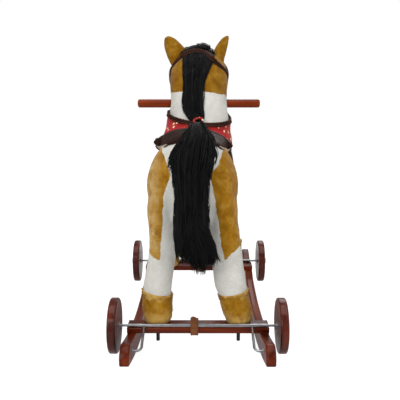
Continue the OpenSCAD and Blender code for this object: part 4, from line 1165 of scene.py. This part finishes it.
def make_cantle():
    top, low, out = cantle_edges()
    pad = cantle_pad(top, low, out)
    add_leather("cantle_pad", pad, "saddle", "saddle_cantle")
    crest = (top + 3.0 * out)[4:-4]
    add_leather("cantle_roll", strands([crest], 4.0 * arch(0.2, len(crest)) ** 0.4, 12), "roll")
    # Felt lining below the flared tips, with its own dark binding
    for name, pick in (("left", slice(4, 19)), ("right", slice(-19, -4))):
        edge, face_out = low[pick], out[pick]
        hang = edge - 8.0 * arch(0.15, len(edge))[:, None] * (0.25 * Y + Z)
        middle = 0.5 * (edge + hang)
        felt = np.stack([edge + 2.0 * face_out, middle + 2.5 * face_out, hang + 1.5 * face_out], 1)
        add_leather(f"cantle_lining_{name}", shell(felt, felt - 2.4 * face_out[:, None]), "lining")
        add_leather(f"cantle_binding_{name}", strands([hang + face_out], 1.8, 10), "roll")


GIRTH_Y, GIRTH_W = 4.3, 28.0


def make_girth():
    centre = GIRTH_Y * Y + np.interp(GIRTH_Y, BODY[:, 1], BODY[:, 2]) * Z
    path, out = ring_on_skin(centre, X, Z, np.radians(np.linspace(182, 358, 70)))
    path = path + 0.5 * out
    add_leather("girth_band", ribbon(path, out, GIRTH_W, LEATHER_T), "tack", "girth")
    add_leather("girth_stitching", stitch_row(path, out, GIRTH_W, LEATHER_T, 2.6), "thread")


# Bridle, reins and bandana

# Crown piece seen from behind: [distance from the middle, height]
CROWN_LINE = np.array([
    (-66, 646), (-52, 661), (-37, 671), (-22, 676), (-5, 678), (15, 673), (35, 658), (58, 641), (62, 638),
])


def make_bridle():
    straps, seams = [], []

    def strap(path, out, loop=False):
        straps.append(ribbon(path, out, LEATHER_W, LEATHER_T, loop))
        seams.append(stitch_row(path, out, LEATHER_W, LEATHER_T))

    # The crown piece crosses behind the ears, over the hair, and runs down both cheeks to the bit
    crown = np.linspace(-62.0, 62.0, 41)
    hits = [on_skin((x, -100.0, np.interp(x, *CROWN_LINE.T)), Y) for x in crown]
    cheeks = []
    for side, (top, _) in ((-1, hits[0]), (1, hits[-1])):
        line = top + np.linspace(0, 1, 36)[1:, None] * (BIT - top)
        cheeks.append([on_skin((220.0 * side, y, z), -side * X) for _, y, z in line])
    path, out = (np.array(part) for part in zip(*cheeks[0][::-1], *hits, *cheeks[1]))
    path = relax(path, 4)
    # Behind the ears the strap lies over onto the nape and shows its flat side
    nape = smoothstep(640.0, 656.0, path[:, 2])[:, None]
    out = unit(smooth_normals(out) - 1.4 * nape * Y)
    over_hair = 0.8 + 9.5 * np.clip(1 - (np.abs(path[:, 0]) / 46.0) ** 4, 0, 1) * (path[:, 2] > 640)
    strap(path + over_hair[:, None] * out, out)
    path, out = ring_on_skin(POLL + 0.60 * HEAD_LEN * HEAD_DIR, X, HEAD_UP, circle(72), 72.0)
    strap(path + 0.4 * out, out, True)
    brow = np.radians(np.linspace(-19, 199, 64))
    path, out = ring_on_skin(POLL + 0.20 * HEAD_LEN * HEAD_DIR, X, HEAD_UP, brow)
    lift = 0.4 + 7.0 * np.clip(1 - (np.abs(path[:, 0]) / 34.0) ** 2, 0, 1)
    strap(path + lift[:, None] * out, out)
    add_leather("bridle_straps", join(straps), "tack", "bridle")
    add_leather("bridle_stitching", join(seams), "thread")


REIN_RISE, REIN_TILT, REIN_FREE = math.radians(12), math.radians(5.5), 25


def make_reins():
    """The reins; gives the turns round the neck and the heights up it at which they lie."""
    nape = NECK_FOOT + 0.215 * NECK_LEN * NECK_DIR - 0.59 * NECK_D * NECK_FRONT
    rise = math.cos(REIN_RISE) * Y + math.sin(REIN_RISE) * Z
    across = math.cos(REIN_TILT) * X - math.sin(REIN_TILT) * Z
    angles = np.radians(np.linspace(-192, 12, 80))
    path, out = ring_on_skin(nape + 0.62 * NECK_D * rise, across, rise, angles)
    path = relax(path + 5.2 * out, 6)
    go = np.linspace(0, 1, REIN_FREE + 1)[1:, None]
    ends = []
    for side, first in ((-1, path[0]), (1, path[-1])):
        ring = BIT + (side * 62.0, -9.0, -9.0)
        free = first + go * (ring - first) - 34.0 * go * (1 - go) * Z
        free[:, 0] = first[0] + (ring[0] - first[0]) * go[:, 0] ** 1.4
        ends.append(free)
    whole = np.concatenate([ends[0][::-1], path, ends[1]])
    outward = np.concatenate([np.tile(-X, (REIN_FREE, 1)), out, np.tile(X, (REIN_FREE, 1))])
    whole = resample(np.hstack([whole, smooth_normals(outward)]), 190)
    line, normals = whole[:, :3], unit(whole[:, 3:])
    add_leather("rein_strap", ribbon(line, normals, LEATHER_W, LEATHER_T), "tack", "reins")
    add_leather("rein_stitching", stitch_row(line, normals, LEATHER_W, LEATHER_T), "thread")
    round_neck = path - NECK_FOOT
    turns = np.arctan2(round_neck[:, 0], round_neck @ NECK_FRONT) % (2 * np.pi)
    return turns, round_neck @ NECK_DIR


BANDANA_ROWS, BANDANA_COLS, BANDANA_T = 22, 120, 0.9


def make_bandana(rein_turns, rein_heights):
    over, under = np.empty((2, BANDANA_COLS, BANDANA_ROWS, 3))
    for i, turn in enumerate(circle(BANDANA_COLS)):
        # turn runs from the chest round the neck; the nape is at half a turn
        nape = 0.5 - 0.5 * math.cos(turn)
        point_down = max(0.0, 1 - min(turn, 2 * np.pi - turn) / math.radians(62))
        right = max(math.sin(turn), 0.0)
        # Its upper edge goes under the reins
        top = np.interp(turn, rein_turns, rein_heights, period=2 * np.pi) + 2.5
        low = 30.0 + 12.0 * smoothstep(0.72, 1.0, nape) - 40.0 * point_down**1.1 + 14.0 * right * nape
        way = math.cos(turn) * NECK_FRONT + math.sin(turn) * X
        for k, v in enumerate(np.linspace(0, 1, BANDANA_ROWS)):
            axis = NECK_FOOT + (top + v * (low - top)) * NECK_DIR
            point, normal = on_skin(axis + 190.0 * way, -way)
            fold = 1.3 * math.sin(9.0 * v + 2.0 * math.sin(2 * turn) + 1.3 * math.cos(3 * turn))
            ripple = 0.9 * noise.noise(Vector((3 * math.cos(turn), 3 * math.sin(turn), 4 * v)))
            # The left side stands off toward its lower edge
            flare = (1.0 - 9.0 * min(math.sin(turn), 0.0)) * v**1.5
            off = 2.4 - 1.8 * right * v + fold * math.sin(math.pi * min(v + 0.1, 1.0)) + ripple + flare
            over[i, k] = point + (off + BANDANA_T) * normal
            under[i, k] = point + max(off, 0.4) * normal
    points = np.concatenate([over, under[:, ::-1]], 1).reshape(-1, 3)
    wrap = (points, tube_faces(BANDANA_COLS, 2 * BANDANA_ROWS, loop=True))
    cloth = add_piece("bandana_wrap", wrap, "bandana", "bandana_cloth", "bandana")


def make_knot():
    centre = neck_place(75.5, -1.0, 12.0)
    t, a = circle(40), circle(10)
    up = unit(NECK_DIR + 0.25 * NECK_FRONT)
    rings = []
    for twist, size, thick in ((0.0, 10.5, 2.6), (0.35, 11.6, 1.9)):
        path = centre + size * np.cos(t)[:, None] * X + 0.86 * size * np.sin(t)[:, None] * up
        path = path - (2.0 * np.sin(2 * t + twist) + 3.0 * twist)[:, None] * NECK_FRONT
        out = unit(path - centre)[:, None]
        pinch = thick * (1 + 0.22 * np.sin(7 * t + twist))
        section = np.cos(a)[:, None] * out - np.sin(a)[:, None] * NECK_FRONT
        points = path[:, None] + pinch[:, None, None] * section
        rings.append((points.reshape(-1, 3), tube_faces(len(t), len(a), loop=True)))
    add_piece("bandana_knot_loop", join(rings), "bandana", "bandana_cloth", "bandana_knot")


# Straps of the base and the stirrups

HOLD_X, HOLD_W, HOLD_T = {-1: -8.0, 1: 6.0}, 17.0, 2.0
# Corners of the plank and the axle that a strap goes round: [distance from the middle, height, radius]
HOLD_ROUNDS = [
    (188.0, 65.24, 1.2), (232.0, 65.24, 1.2), (188.0, 78.24, 1.2), (232.0, 78.24, 1.2), (228.0, 82.54, 4.0),
]
TAB_STEPS, STIRRUP_STEPS = 14, 30


def rounded_end(go, full, power, least):
    """Share of a strap's width along a rounded end."""
    return np.clip(np.sqrt(np.clip(full - go**power, 0, 1)), least, 1)


def make_hold_strap(end):
    name, x = f"{END_NAMES[end]}_strap", HOLD_X[end]
    cloud = []
    for y, z, r in HOLD_ROUNDS:
        cloud += [Vector((y + (r + 0.5) * math.cos(a), z + (r + 0.5) * math.sin(a))) for a in circle(40)]
    hull = np.array([cloud[i] for i in geometry.convex_hull_2d(cloud)])
    loop = resample(np.concatenate([hull, hull[:1]]), 121)[:-1]
    path = np.stack([np.full(len(loop), x), end * loop[:, 0], loop[:, 1]], -1)
    out = unit(np.cross(np.roll(path, -1, 0) - np.roll(path, 1, 0), X))
    out *= np.sign(np.sum(out * (path - (x, end * 212.0, 74.0)), -1, keepdims=True))
    # The free end: it stands up behind the axle at the rear, and hangs down at the front
    go = np.linspace(0, 1, TAB_STEPS)
    z = 80.0 + 26.5 * go if end < 0 else 76.0 - 25.0 * go
    tab = np.stack([np.full(TAB_STEPS, x), end * (234.9 + 1.6 * go**2), z], -1)
    width = HOLD_W * rounded_end(go, 1.06, 9, 0.3)
    points, faces = ribbon(tab, np.tile(end * Y, (TAB_STEPS, 1)), width, 1.8)
    if end < 0:
        points[:, 2] -= 0.26 * (points[:, 0] - x) * smoothstep(90.0, 104.0, points[:, 2])
    shape = join([ribbon(path, out, HOLD_W, HOLD_T, True), (points, faces)])
    add_piece(f"{name}_leather", shape, "strap", "tan_leather", name)
    seam = stitch_row(path[10:-10], out[10:-10], HOLD_W, HOLD_T)
    add_piece(f"{name}_stitching", seam, "thread", "tan_leather")


def make_stirrup_leather(side):
    name = SIDE_NAMES[side]
    node, body = f"stirrup_leather_{name}", f"{name}_stirrup"
    low, high = (np.array(v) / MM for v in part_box(node))
    thick, wide, _ = high - low
    go = np.linspace(0, 1, STIRRUP_STEPS)
    path = np.tile((low + high) / 2 - side * thick / 2 * X, (STIRRUP_STEPS, 1))
    path[:, 2] = high[2] + go * (low[2] - high[2])
    width = wide * rounded_end(np.abs(2 * go - 1), 1.02, 14, 0.55)
    out = np.tile(side * X, (STIRRUP_STEPS, 1))
    add_leather(f"stirrup_strap_{name}", ribbon(path, out, width, thick), "tack", node, body=body)
    seam = stitch_row(path[3:-3], out[3:-3], wide, thick)
    add_leather(f"stirrup_stitching_{name}", seam, "thread", body=body)


# Floor and light

FLOOR_HALF = 14000.0
LIGHT_AIM = Vector((0, 0, 0.38))
# Area lights: [name, place and size in metres, power in watts]
LIGHTS = [
    ("key", (-1.5, -2.3, 1.7), 1.8, 49.0),
    ("fill", (1.9, -1.8, 1.1), 1.6, 22.0),
    ("top", (0.1, -0.1, 2.7), 2.2, 38.0),
    ("rear", (0.6, 2.4, 1.9), 1.6, 22.0),
]
SKY_LIGHT, SKY_SEEN = 0.38, 1.0


def make_floor():
    corners = FLOOR_HALF * np.array([(-1, -1, 0), (1, -1, 0), (1, 1, 0), (-1, 1, 0)])
    mesh = new_mesh("floor", corners, [(0, 1, 2, 3)])
    mesh.materials.append(floor_look())
    new_object("floor", mesh)


def make_light():
    for name, at, size, power in LIGHTS:
        data = bpy.data.lights.new(name, "AREA")
        data.size = size
        data.energy = power
        lamp = new_object(name, data)
        lamp.location = at
        lamp.rotation_euler = (LIGHT_AIM - Vector(at)).to_track_quat("-Z", "Y").to_euler()
    world = bpy.data.worlds.new("studio")
    bpy.context.scene.world = world
    world.use_nodes = True
    tree = world.node_tree
    both = tree.nodes.new("ShaderNodeMixShader")
    skies = [tree.nodes["Background"], tree.nodes.new("ShaderNodeBackground")]
    for sky, strength, socket in zip(skies, (SKY_LIGHT, SKY_SEEN), both.inputs[1:]):
        sky.inputs["Color"].default_value = (1.0, 1.0, 1.0, 1.0)
        sky.inputs["Strength"].default_value = strength
        tree.links.new(sky.outputs["Background"], socket)
    path = tree.nodes.new("ShaderNodeLightPath")
    tree.links.new(path.outputs["Is Camera Ray"], both.inputs["Fac"])
    tree.links.new(both.outputs["Shader"], tree.nodes["World Output"].inputs["Surface"])
    bpy.context.scene.view_settings.view_transform = "Standard"


def make_horse():
    for end in END_NAMES:
        for side in SIDE_NAMES:
            make_boot(end, side)
    for side in SIDE_NAMES:
        make_ear(side)
        make_stirrup_leather(side)
    make_eyes()
    make_tail()
    make_mane()
    make_forelock()
    make_skirt()
    make_seat()
    make_cantle()
    make_girth()
    make_bridle()
    make_bandana(*make_reins())
    make_knot()
    for end in END_NAMES:
        make_hold_strap(end)


make_camera()
dress_nodes()
make_horse()
make_floor()
make_light()
